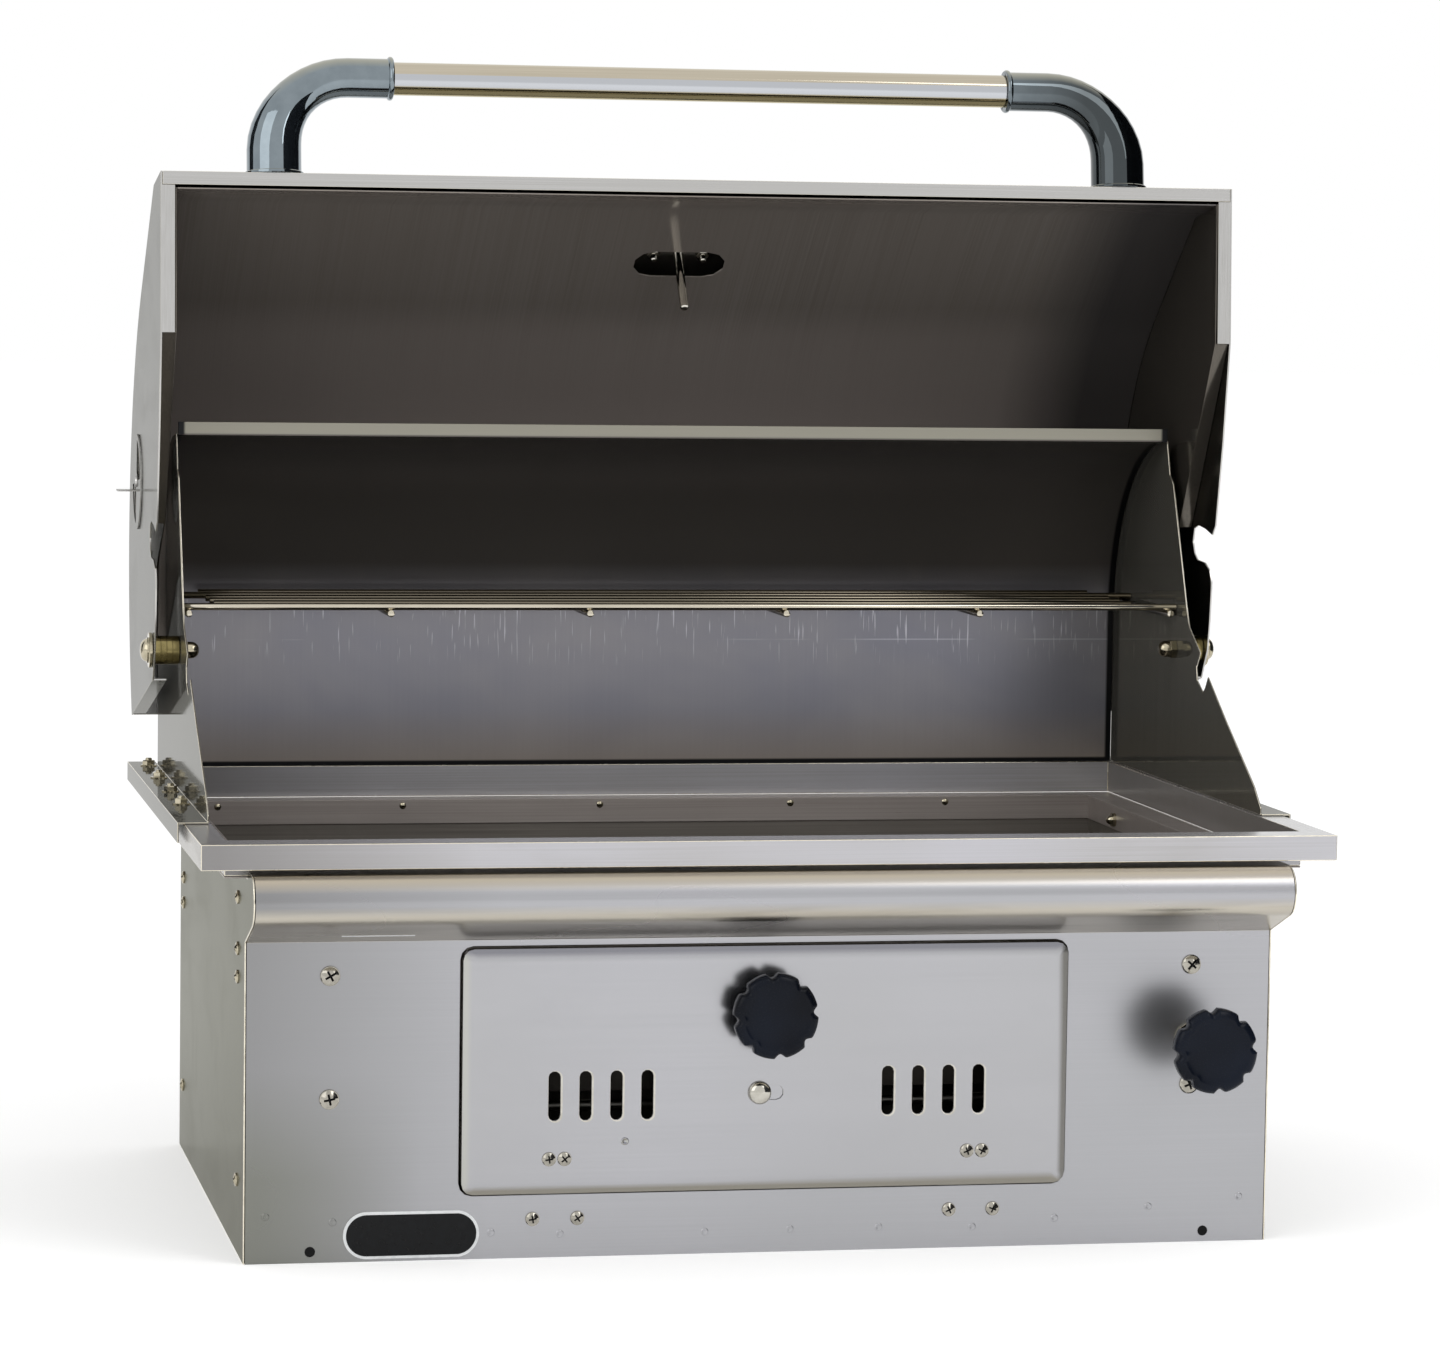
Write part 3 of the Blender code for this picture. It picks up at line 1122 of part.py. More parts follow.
def make_cam_plate(side, sign, carriage, steel):
    """Moving plate whose slanted slots raise the tray; the right one carries the nut."""
    near = GUIDE_SIDE + SHEET + CAM_GAP
    far = near + CAM_SHEET
    front = -TRAY_PIN_FRONT - LIFT_RUN - CAM_EDGE
    back = TRAY_PIN_BACK + CAM_EDGE
    levels = (CROSS_BAR_HEIGHT - CAM_EDGE, TRAY_PIN_HEIGHT + LIFT_RISE + CAM_EDGE)
    plate = add("cam_plate_" + side, box(on_side(sign, near, far), (front, back), levels),
                steel, carriage)
    if sign > 0:
        block_front = -NUT_BLOCK_BACK
        block = box((near + CAM_SHEET / 2, CRANK_SIDE + SHAFT_RADIUS + NUT_BLOCK_WALL),
                    (block_front, block_front + NUT_BLOCK_LENGTH),
                    (CRANK_HEIGHT - NUT_BLOCK_HEIGHT / 2, CRANK_HEIGHT + NUT_BLOCK_HEIGHT / 2))
        join(plate, block)
    span = on_side(sign, near - OVERRUN / 4, far + OVERRUN)
    pin = TRAY_PIN_RADIUS + SLOT_CLEAR
    cuts = [prism(slanted_slot(*ends, pin), "X", *span) for ends in cam_slots()]
    for y in (-CROSS_BAR_FRONT, CROSS_BAR_BACK):
        cuts.append(prism(arc((y, CROSS_BAR_HEIGHT), CROSS_BAR_RADIUS + CLEAR, 0, 330, 11),
                          "X", *span))
    if sign > 0:
        cuts.append(prism(arc((CRANK_SIDE, CRANK_HEIGHT), SHAFT_RADIUS + CLEAR, 0, 330, 11),
                          "Y", block_front - OVERRUN,
                          block_front + NUT_BLOCK_LENGTH + OVERRUN))
    cut(plate, *cuts)


def open_tray(half_x, half_y, low, height, wall, rim=0, middle=0):
    """An open box with its floor, and a flat rim when one is given."""
    def ring(x, y, z):
        near, far = middle - y, middle + y
        return [Vector((-x, near, z)), Vector((x, near, z)), Vector((x, far, z)),
                Vector((-x, far, z))]
    top = low + height
    rings = [ring(half_x, half_y, low), ring(half_x, half_y, top)]
    if rim:
        rings = [ring(half_x, half_y, low), ring(half_x, half_y, top - wall),
                 ring(half_x + rim, half_y, top - wall), ring(half_x + rim, half_y, top)]
    rings += [ring(half_x - wall, half_y - wall, top),
              ring(half_x - wall, half_y - wall, low + wall)]
    return skin(rings)


def make_trays(dark_steel, steel):
    tray_pivot = pivot_at("tray_axis", (0, 0, TRAY_BOTTOM))
    half_x, half_y = TRAY_WIDTH / 2, TRAY_DEPTH / 2
    tray = add("charcoal_tray", open_tray(half_x, half_y, TRAY_BOTTOM, TRAY_WALL, TRAY_SHEET),
               dark_steel, tray_pivot)
    pitch = TRAY_WIDTH / (TRAY_SLOTS_A_ROW + 1)
    row = TRAY_DEPTH / TRAY_SLOT_ROWS
    half_slot = row * TRAY_SLOT_SHARE / 2
    slots = []
    for across in range(1, TRAY_SLOTS_A_ROW + 1):
        x = -half_x + pitch * across
        for deep in range(TRAY_SLOT_ROWS):
            y = -half_y + row * deep + row / 2
            slots.append(box((x - TRAY_SLOT_WIDTH / 2, x + TRAY_SLOT_WIDTH / 2),
                             (y - half_slot, y + half_slot),
                             (TRAY_BOTTOM - OVERRUN, TRAY_BOTTOM + TRAY_SHEET + OVERRUN)))
    cut(tray, *slots)
    pin_end = GUIDE_SIDE + SHEET + CAM_GAP + CAM_SHEET + CLEAR * 2
    pins = []
    for sign in (-1, 1):
        for y in (-TRAY_PIN_FRONT, TRAY_PIN_BACK):
            pins.append(rod((sign * (half_x - TRAY_SHEET / 2), y, TRAY_PIN_HEIGHT),
                            (sign * pin_end, y, TRAY_PIN_HEIGHT), TRAY_PIN_RADIUS))
    join(tray, *pins)

    low = PAN_RIM_HEIGHT + SHEET - PAN_HEIGHT
    middle = PAN_FRONT + PAN_DEPTH / 2
    add("ash_pan", open_tray(PAN_WIDTH / 2, PAN_DEPTH / 2, low, PAN_HEIGHT, SHEET, PAN_RIM,
                             middle), steel)
    shelf_top = PAN_RIM_HEIGHT - CLEAR
    inner = PAN_WIDTH / 2 + SHEET * 2
    outer = inner + RAIL_SHELF
    front, back = LINER_FRONT + CLEAR, LINER_BACK - CLEAR
    for side, sign in (("left", -1), ("right", 1)):
        outline = [(inner, shelf_top), (outer, shelf_top), (outer, SHEET + CLEAR),
                   (outer - SHEET, SHEET + CLEAR), (outer - SHEET, shelf_top - SHEET),
                   (inner, shelf_top - SHEET)]
        add("pan_rail_" + side, prism([(sign * x, z) for x, z in outline], "Y", front, back),
            dark_steel)


def build():
    clear_scene()
    steel = material("brushed_steel", (0.47, 0.47, 0.49), 0.32, 1.0)
    dark_steel = material("smoked_steel", (0.09, 0.085, 0.08), 0.45, 1.0)
    liner_steel = material("liner_steel", (0.16, 0.145, 0.13), 0.40, 1.0)
    chrome = material("chrome", (0.75, 0.75, 0.76), 0.10, 1.0)
    black = material("black_plastic", (0.012, 0.014, 0.02), 0.28, 0.0)
    make_cabinet(steel, dark_steel)
    make_trim(steel)
    make_back_works(steel, dark_steel, chrome)
    hood_pivot = pivot_at("hood_axis", (0, HINGE_Y, HINGE_Z))
    make_hood(hood_pivot, steel, liner_steel, chrome)
    hood_pivot.rotation_euler = (-HOOD_OPEN_ANGLE, 0, 0)
    door_pivot = pivot_at("door_axis", (0, DOOR_AXIS_Y, DOOR_AXIS_Z))
    make_door(door_pivot, steel, chrome, black, dark_steel)
    make_lift(steel, dark_steel, chrome, black)
    make_trays(dark_steel, steel)


build()
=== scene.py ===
import bpy
import bmesh
import json
from math import cos, pi, radians, sin
from mathutils import Matrix, Vector
from mathutils.bvhtree import BVHTree

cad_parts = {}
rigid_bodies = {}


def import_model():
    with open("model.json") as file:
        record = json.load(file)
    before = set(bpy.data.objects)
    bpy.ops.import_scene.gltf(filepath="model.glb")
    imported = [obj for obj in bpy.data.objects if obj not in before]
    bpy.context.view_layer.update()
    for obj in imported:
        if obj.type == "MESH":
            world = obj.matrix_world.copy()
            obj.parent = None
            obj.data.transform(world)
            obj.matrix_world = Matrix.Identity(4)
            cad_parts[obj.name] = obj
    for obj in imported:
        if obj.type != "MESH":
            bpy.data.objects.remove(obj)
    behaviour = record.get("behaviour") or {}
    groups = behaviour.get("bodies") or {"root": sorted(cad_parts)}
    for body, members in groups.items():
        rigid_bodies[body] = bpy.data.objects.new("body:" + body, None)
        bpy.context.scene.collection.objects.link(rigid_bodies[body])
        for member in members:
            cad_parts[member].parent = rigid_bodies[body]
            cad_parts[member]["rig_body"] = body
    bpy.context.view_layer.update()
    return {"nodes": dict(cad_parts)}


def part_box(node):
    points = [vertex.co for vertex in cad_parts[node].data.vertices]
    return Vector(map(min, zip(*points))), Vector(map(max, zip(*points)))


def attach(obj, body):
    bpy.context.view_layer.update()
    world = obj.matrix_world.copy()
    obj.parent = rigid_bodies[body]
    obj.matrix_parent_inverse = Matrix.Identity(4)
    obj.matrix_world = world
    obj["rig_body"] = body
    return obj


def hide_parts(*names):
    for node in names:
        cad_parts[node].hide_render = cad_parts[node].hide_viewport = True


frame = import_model()
scene = bpy.context.scene
cadNodes = frame["nodes"]

# the two sides with their directions, the way the front looks, and where its sheets stand
sides = (("left", -1), ("right", 1))
outward = (0, -1, 0)
planes = {"front": -0.249, "door": -0.256}

# pieces of the hood are drawn with it shut, then swung to where it stands at rest
hingeLine = Vector((0, 0.0744, 0.4128))
openHood = (Matrix.Translation(hingeLine) @ Matrix.Rotation(radians(-97.5), 4, "X")
            @ Matrix.Translation(-hingeLine))


# small helpers for colours and shader nodes

def linear(hexColour):
    # sRGB hex to the linear values a shader wants
    values = []
    for start in (1, 3, 5):
        value = int(hexColour[start:start + 2], 16) / 255
        values.append(value / 12.92 if value <= 0.04045 else ((value + 0.055) / 1.055) ** 2.4)
    return (*values, 1)


def setInputs(tree, node, inputs):
    # an input takes either a link or a fixed value
    for key, value in inputs.items():
        if isinstance(value, bpy.types.NodeSocket):
            tree.links.new(value, node.inputs[key])
        else:
            node.inputs[key].default_value = value


def addNode(tree, kind, inputs=None, **settings):
    node = tree.nodes.new(kind)
    for key, value in settings.items():
        setattr(node, key, value)
    setInputs(tree, node, inputs or {})
    return node


def startMaterial(name):
    material = bpy.data.materials.new(name)
    material.use_nodes = True
    tree = material.node_tree
    return material, tree, tree.nodes["Principled BSDF"]


def noiseAt(tree, scale, detail=2, roughness=0.5, distortion=0):
    # noise in object space; scale is how many times it repeats in a metre on each axis
    where = addNode(tree, "ShaderNodeTexCoord")
    mapped = addNode(tree, "ShaderNodeMapping",
                     {"Vector": where.outputs["Object"], "Scale": scale})
    return addNode(tree, "ShaderNodeTexNoise",
                   {"Vector": mapped.outputs[0], "Scale": 1, "Detail": detail,
                    "Roughness": roughness, "Distortion": distortion}).outputs["Fac"]


def spread(tree, value, low, high, to=(0, 1)):
    return addNode(tree, "ShaderNodeMapRange",
                   {"Value": value, "From Min": low, "From Max": high,
                    "To Min": to[0], "To Max": to[1]}).outputs[0]


def mixColours(tree, share, first, second):
    # each colour comes as a link or as sRGB hex
    pair = [linear(colour) if isinstance(colour, str) else colour for colour in (first, second)]
    return addNode(tree, "ShaderNodeMix", {0: share, 6: pair[0], 7: pair[1]},
                   data_type="RGBA").outputs[2]


def onAxis(tree, output, axis, low, high):
    where = addNode(tree, "ShaderNodeTexCoord")
    split = addNode(tree, "ShaderNodeSeparateXYZ", {0: where.outputs[output]})
    return spread(tree, split.outputs[axis], low, high)


def placeAt(tree, axis, low, high):
    # 0 at one place along an axis of the object and 1 at another
    return onAxis(tree, "Object", axis, low, high)


def heightAt(tree, low, high):
    return placeAt(tree, "Z", low, high)


def slopeAt(tree, axis, low, high):
    # 0 for faces that lean one way in object space and 1 for those that lean another
    return onAxis(tree, "Normal", axis, low, high)


def times(tree, first, second):
    return addNode(tree, "ShaderNodeMath", {0: first, 1: second}, operation="MULTIPLY").outputs[0]


def grained(tree, height, strength):
    return addNode(tree, "ShaderNodeBump", {"Height": height, "Strength": strength,
                                            "Distance": 0.0002}).outputs[0]


def addLayers(tree, toned, layers):
    # a layer tints one end of a piece, or those of its faces that lean one way
    for find, axis, low, high, colour, most in layers:
        toned = mixColours(tree, times(tree, find(tree, axis, low, high), most), toned, colour)
    return toned


# materials

def brushedSteel(name, light, dark, tint, along, rough, clouds=0.5, marks=0.3, metal=1, edge=1,
                 warm=0.96, layers=()):
    # belt brushed stainless sheet: hair lines along the brushing, tone that drifts slowly
    # over a sheet, and wiped patches that are a little duller. The real lines are 0.1 mm
    # apart, too fine to show, so they are drawn about 1 mm apart and faint. A sooty sheet
    # has less metal in it, and edge below 1 keeps a sheet dull where it is seen aslant
    material, tree, shader = startMaterial(name)
    hair = noiseAt(tree, [5 if axis in along else 900 for axis in "XYZ"])
    bands = noiseAt(tree, [0.7 if axis in along else 60 for axis in "XYZ"], 3, 0.6)
    slow = noiseAt(tree, (3.5, 3.5, 4.5))
    wiped = noiseAt(tree, (8, 8, 17), 4, 0.6, 0.7)
    toned = mixColours(tree, spread(tree, hair, 0.25, 0.75), dark, light)
    toned = mixColours(tree, spread(tree, bands, 0.3, 0.7, (0, 0.6)), toned, light)
    toned = mixColours(tree, spread(tree, slow, 0.35, 0.65, (0, clouds)), toned, tint)
    toned = mixColours(tree, spread(tree, wiped, 0.56, 0.74, (0, marks)), toned, dark)
    worn = times(tree, spread(tree, hair, 0.25, 0.75, (0.9, 1.1)),
                 spread(tree, wiped, 0.45, 0.75, (rough, rough * 1.3)))
    setInputs(tree, shader, {"Base Color": addLayers(tree, toned, layers), "Roughness": worn,
                             "Metallic": metal, "Specular Tint": (edge, edge, edge * warm, 1),
                             "Normal": grained(tree, hair, 0.02)})
    return material


def rolledFront(name):
    # satin stainless of the front: nearly even violet grey, darker at its left end by painted
    # reflection, a painted warm beige highlight on top of the rolled nose, and painted olive brown
    # reflection with darker smudges where it turns under
    material, tree, shader = startMaterial(name)
    hair = noiseAt(tree, (5, 900, 900))
    slow = noiseAt(tree, (3, 3, 5))
    smudgeNoise = noiseAt(tree, (5, 30, 60), 3, 0.6, 0.5)
    flat = mixColours(tree, spread(tree, hair, 0.25, 0.75), "#ABABAF", "#B0B0B4")
    flat = mixColours(tree, spread(tree, slow, 0.35, 0.7, (0, 0.6)), flat, "#A8A9AB")
    # painted reflection: the left end of the front darker, its lower left corner darker still
    flat = mixColours(tree, placeAt(tree, "X", -0.2, -0.37), flat, "#8F8F90")
    paintedCornerShade = times(tree, placeAt(tree, "X", -0.25, -0.37), heightAt(tree, 0.14, 0.06))
    flat = mixColours(tree, paintedCornerShade, flat, "#7E7F79")
    # painted reflection: olive brown where the nose turns under, varied by darker smudges
    under = mixColours(tree, spread(tree, smudgeNoise, 0.5, 0.72, (0, 0.55)), "#C0BAAE", "#948D7F")
    turned = times(tree, heightAt(tree, 0.2298, 0.2312), heightAt(tree, 0.262, 0.2545))
    toned = mixColours(tree, turned, flat, under)
    # painted highlight: warm beige on top of the rolled nose
    toned = mixColours(tree, heightAt(tree, 0.272, 0.280), toned, "#BEB4A2")
    setInputs(tree, shader, {"Base Color": toned, "Metallic": 1,
                             "Roughness": spread(tree, slow, 0.3, 0.7, (0.26, 0.32)),
                             "Normal": grained(tree, hair, 0.02)})
    return material


def shellSteel(name):
    # polished sheet behind the grate: violet grey from heat below the rack, plain above it,
    # with fine upright scratches and a band of short nicks just under the rack
    material, tree, shader = startMaterial(name)
    fine = noiseAt(tree, (500, 500, 5))
    cloud = noiseAt(tree, (5, 5, 7), 3, 0.6, 0.5)
    nicks = noiseAt(tree, (800, 800, 38), 1, 0.4)
    drift = noiseAt(tree, (9, 9, 9))
    base = mixColours(tree, spread(tree, cloud, 0.35, 0.65), "#8C8C96", "#A09EA3")
    base = mixColours(tree, heightAt(tree, 0.35, 0.30), base, "#9F958B")
    base = mixColours(tree, heightAt(tree, 0.43, 0.47), base, "#5F5B57")
    base = mixColours(tree, spread(tree, fine, 0.3, 0.75, (0, 0.04)), base, "#4E4C52")
    band = times(tree, heightAt(tree, 0.385, 0.41), heightAt(tree, 0.445, 0.435))
    struck = times(tree, spread(tree, nicks, 0.68, 0.75, (0, 0.8)), band)
    base = mixColours(tree, struck, base, "#DCDBE4")
    # one long level scratch where something slid along the sheet
    scored = times(tree, heightAt(tree, 0.4062, 0.4066), heightAt(tree, 0.4076, 0.4072))
    scored = times(tree, scored, spread(tree, drift, 0.5, 0.62, (0, 0.4)))
    base = mixColours(tree, scored, base, "#D6D6E0")
    base = mixColours(tree, heightAt(tree, 0.5768, 0.5776), base, "#969387")
    # painted shadow in the joints with the hinge plates and with the trim: near black lines
    for axis, start, end in (("X", 0.3885, 0.3905), ("X", -0.3885, -0.3905),
                             ("Z", 0.3095, 0.3080)):
        base = mixColours(tree, placeAt(tree, axis, start, end), base, "#0B0C10")
    setInputs(tree, shader, {"Base Color": base, "Metallic": 0.6,
                             "Roughness": spread(tree, cloud, 0.3, 0.7, (0.28, 0.36))})
    return material


def polished(name, colour, shade, rough, speck=60, layers=()):
    # bright plated or turned steel: nearly a mirror, with faint haze and handling marks
    material, tree, shader = startMaterial(name)
    haze = noiseAt(tree, (speck, speck, speck), 4, 0.6)
    toned = mixColours(tree, spread(tree, haze, 0.4, 0.7, (0, 0.6)), colour, shade)
    setInputs(tree, shader, {
        "Base Color": addLayers(tree, toned, layers), "Metallic": 1,
        "Roughness": spread(tree, haze, 0.3, 0.7, (rough * 0.7, rough * 1.6))})
    return material


def mouldedPhenolic(name):
    # moulded phenolic knob: blue black with a waxy gloss and a very fine grain
    material, tree, shader = startMaterial(name)
    grain = noiseAt(tree, (900, 900, 900), 3, 0.6)
    cloud = noiseAt(tree, (14, 14, 14))
    setInputs(tree, shader, {
        "Base Color": mixColours(tree, spread(tree, cloud, 0.35, 0.65), "#080B13", "#101622"),
        "Roughness": spread(tree, grain, 0.3, 0.7, (0.2, 0.3)), "Specular IOR Level": 0.13,
        "Normal": grained(tree, grain, 0.05)})
    return material


def enamel(name, colour, shade, rough):
    # baked enamel or printed film: even colour, a faint orange peel and a little dust
    material, tree, shader = startMaterial(name)
    dust = noiseAt(tree, (180, 180, 180), 4, 0.6)
    setInputs(tree, shader, {
        "Base Color": mixColours(tree, spread(tree, dust, 0.45, 0.7), colour, shade),
        "Roughness": spread(tree, dust, 0.3, 0.7, (rough * 0.8, rough * 1.3)),
        "Specular IOR Level": 0.2, "Normal": grained(tree, dust, 0.05)})
    return material


def gaugeGlass(name):
    # pressed soda glass over the dial, with a slight film of grease
    material, tree, shader = startMaterial(name)
    film = noiseAt(tree, (40, 40, 40), 4, 0.6)
    setInputs(tree, shader, {"Roughness": spread(tree, film, 0.4, 0.7, (0.02, 0.09)),
                             "Transmission Weight": 1, "IOR": 1.5})
    return material


finishes = {
    "front": rolledFront("satinStainlessFront"),
    # painted reflection and shade on the slopes of the door's pressed border: lighter where they
    # lean left, grey where they lean up, olive where they lean down, dark where they lean right
    "door": brushedSteel("satinStainlessDoor", "#B1B1B5", "#A9A9AD", "#A7A7A8", "X", 0.2,
                         0.6, 0.1, layers=(
                             (slopeAt, "X", -0.08, -0.16, "#B5B5AE", 0.8),
                             (slopeAt, "Z", 0.08, 0.16, "#86868D", 0.9),
                             (slopeAt, "Z", -0.08, -0.16, "#8A867B", 0.9),
                             (slopeAt, "X", 0.08, 0.16, "#6F6D68", 0.9))),
    "side": brushedSteel("satinStainlessSide", "#8E8D86", "#82817A", "#898880", "Z", 0.14,
                         0.6, 0.15, edge=0.31, warm=0.83, layers=(
                             (placeAt, "Z", 0.06, 0.22, "#7F7E76", 0.7),)),
    # painted reflection and shade on the trim: darker towards its left end, and brown grey on
    # faces that lean left
    "trim": brushedSteel("brushedStainlessTrim", "#BEBDC0", "#AAA8A7", "#C5C5CD", "X", 0.2,
                         0.7, 0.3, metal=0.4, layers=(
                             (placeAt, "X", -0.22, -0.40, "#848281", 0.9),
                             (slopeAt, "X", -0.5, -0.9, "#7B756D", 0.7))),
    "ledge": brushedSteel("heatTonedLedge", "#B5ADA8", "#9A918B", "#A89F9B", "X", 0.3, 0.6,
                          0.3, metal=0.4),
    "hood": brushedSteel("brushedStainlessHood", "#C3C2C1", "#B0AFAC", "#BAB9B6", "X", 0.16,
                         0.6, 0.2, edge=0.38),
    "hoodSide": brushedSteel("brushedStainlessHoodSide", "#C3C2C1", "#B0AFAC", "#BAB9B6", "Z",
                             0.16, 0.6, 0.2, edge=0.38),
    # painted light: the liner is lighter low down; painted shadow: a dark upright band near its
    # right side
    "inside": brushedSteel("stainlessLinerPaintedLightAndShade", "#97908A", "#827B74", "#89817A", "YZ", 0.13,
                           0.7, 0.08, metal=0.5, layers=(
                               (placeAt, "Z", 0.68, 0.58, "#C9BEB8", 0.9),
                               (placeAt, "X", 0.29, 0.36, "#4C4A4B", 0.85))),
    "firebox": brushedSteel("smokedFirebox", "#89837C", "#69645D", "#7A746E", "X", 0.35, 0.7,
                            0.5, metal=0.5),
    "shell": shellSteel("polishedRearShell"),
    "plate": brushedSteel("polishedHingePlate", "#9C9990", "#86837A", "#908D83", "Z", 0.05,
                          0.6, 0.2, metal=0.7, edge=0.15, warm=0.8),
    # painted highlight: the bright cream finish of the broken edges of outside sheets
    "edge": polished("paintedHighlightSheetEdge", "#EDE6D4", "#C9C1AE", 0.2, 90),
    # a darker base colour than the hood's liner
    "sideLiner": brushedSteel("darkSideLiner", "#6F6A62", "#4D4943", "#5E5952", "Z", 0.14,
                              0.7, 0.1, metal=0.7),
    # painted shade: wires and bars behind the front wire are much darker, so only the front wire
    # reads bright
    "rack": polished("drawnRackWire", "#CDC6B6", "#B3AB99", 0.1, 12, layers=(
        (placeAt, "Y", 0.080, 0.105, "#716A5C", 0.95),)),
    "lift": brushedSteel("zincPlatedPressing", "#8A8883", "#6B6964", "#797670", "Y", 0.35),
    "tray": brushedSteel("firedSheetSteel", "#4B4844", "#33302C", "#3E3A36", "X", 0.45, 0.8,
                         0.6),
    # painted reflection on the tube: blue grey on faces that do not look up, khaki on faces that
    # look down
    "tube": brushedSteel("champagneStainlessTube", "#C6BDAB", "#B2A996", "#B9B1A1", "X", 0.07,
                         0.4, 0.1, layers=((slopeAt, "Z", 0.30, 0.25, "#BABEC5", 0.9),
                                           (slopeAt, "Z", -0.42, -0.52, "#A09470", 1))),
    # painted reflection on the elbows: a dark blue grey base, the right hand elbow darker still,
    # and a warm grey on faces that look up
    "chrome": polished("chromePlatedCasting", "#858F95", "#747E84", 0.03, layers=(
        (placeAt, "X", 0.20, 0.30, "#3D4142", 0.9),
        (slopeAt, "Z", 0.55, 0.85, "#A5A496", 0.8))),
    "bolt": polished("stainlessFastener", "#BDB59F", "#8E866F", 0.12, 200),
    "stud": polished("bareStainlessStud", "#C6C3BA", "#A6A297", 0.12, 150),
    "screw": polished("panelScrewHead", "#AFABA1", "#7F7C72", 0.1, 150),
    "bronze": polished("yellowPassivatedSpacer", "#91855A", "#6F643F", 0.2, 120),
    "knob": mouldedPhenolic("mouldedPhenolicKnob"),
    "black": enamel("blackEnamelPlate", "#08090B", "#0E1013", 0.3),
    "paleRim": enamel("paleBadgeRim", "#E6E8E9", "#D8DBDC", 0.3),
    "hole": enamel("shadowedHole", "#050506", "#0A0A0B", 0.6),
    "dial": enamel("whiteDialEnamel", "#E9E8E2", "#DEDCD4", 0.4),
    "needle": enamel("redNeedlePaint", "#A3231B", "#8C1C15", 0.4),
    "glass": gaugeGlass("pressedGaugeGlass"),
}
print("materials", len(finishes))


# making and placing pieces

def newObject(name, bm, materials):
    mesh = bpy.data.meshes.new(name)
    bm.to_mesh(mesh)
    bm.free()
    for material in materials:
        mesh.materials.append(material)
    made = bpy.data.objects.new(name, mesh)
    scene.collection.objects.link(made)
    return made


def addPiece(name, bm, finish, body, stands=None, smooth=30, weighted=False):
    # one piece of the grill; a tuple gives it several finishes, by material index
    used = finish if isinstance(finish, tuple) else (finish,)
    piece = newObject(name, bm, [finishes[entry] for entry in used])
    piece.data.shade_smooth()
    piece.data.set_sharp_from_angle(angle=radians(smooth))
    if weighted:
        evened = piece.modifiers.new("evenShading", "WEIGHTED_NORMAL")
        evened.keep_sharp = True
        evened.weight = 80
    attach(piece, body)
    if stands:
        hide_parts(stands)


def facing(origin, way):
    # the move that takes a shape drawn along +Z to a place, looking along a direction
    turn = Vector(way).to_track_quat("Z", "Y").to_matrix().to_4x4()
    return Matrix.Translation(Vector(origin)) @ turn


def turnedShape(profile, steps=48, closed=False):
    # (radius, height) pairs spun once about Z
    bm = bmesh.new()
    verts = [bm.verts.new((radius, 0, height)) for radius, height in profile]
    edges = [bm.edges.new(pair) for pair in zip(verts, verts[1:])]
    if closed:
        edges.append(bm.edges.new((verts[-1], verts[0])))
    bmesh.ops.spin(bm, geom=verts + edges, cent=(0, 0, 0), axis=(0, 0, 1), angle=2 * pi,
                   steps=steps, use_merge=True)
    bmesh.ops.remove_doubles(bm, verts=bm.verts, dist=0.000002)
    bmesh.ops.recalc_face_normals(bm, faces=bm.faces)
    return bm


def ringEdges(verts):
    return list({edge for vert in verts for edge in vert.link_edges})


def closeLoops(bm, loops):
    # bridge each loop to the next and fill both ends
    for first, second in zip(loops, loops[1:]):
        bmesh.ops.bridge_loops(bm, edges=first + second)
    for loop in (loops[0], loops[-1]):
        bmesh.ops.contextual_create(bm, geom=loop)
    bmesh.ops.recalc_face_normals(bm, faces=bm.faces)
    return bm


def loftShape(rings, steps=48, wave=None):
    # rings of (centre, direction, radius) joined one to the next; wave gives their outline
    bm = bmesh.new()
    loops = []
    for centre, way, radius in rings:
        ring = bmesh.ops.create_circle(bm, cap_ends=False, segments=steps, radius=1)["verts"]
        for vert in ring:
            turn = vert.co.copy()
            vert.co = turn * (wave(turn, radius) if wave else radius)
        bmesh.ops.transform(bm, matrix=facing(centre, way), verts=ring)
        loops.append(ringEdges(ring))
    return closeLoops(bm, loops)


def stackedShape(levels, steps, wave):
    # (height, radius) rings of one outline, joined along Z
    return loftShape([((0, 0, height), (0, 0, 1), radius) for height, radius in levels],
                     steps, wave)


def addShape(bm, other, move=None):
    # pour one bmesh into another, moved on the way
    mesh = bpy.data.meshes.new("passing")
    if move is not None:
        other.transform(move)
    other.to_mesh(mesh)
    other.free()
    bm.from_mesh(mesh)
    bpy.data.meshes.remove(mesh)


def softenEdges(bm, width, angle=35, segments=2):
    sharp = [edge for edge in bm.edges
             if len(edge.link_faces) == 2 and edge.calc_face_angle(0) > radians(angle)]
    return bmesh.ops.bevel(bm, geom=sharp, offset=width, segments=segments, profile=0.5,
                           affect="EDGES", material=-1, clamp_overlap=True)["faces"]


def barShape(start, end, radius, steps=20):
    # a straight round bar with its ends broken
    start, end = Vector(start), Vector(end)
    bm = bmesh.new()
    bmesh.ops.create_cone(bm, cap_ends=True, segments=steps, radius1=radius, radius2=radius,
                          depth=(end - start).length,
                          matrix=facing((start + end) / 2, end - start))
    softenEdges(bm, radius * 0.2)
    return bm


def blockShape(low, high, edge=0):
    low, high = Vector(low), Vector(high)
    bm = bmesh.new()
    size = high - low
    bmesh.ops.create_cube(bm, size=1, matrix=Matrix.Translation((low + high) / 2)
                          @ Matrix.Diagonal((*size, 1)))
    if edge:
        softenEdges(bm, edge)
    return bm


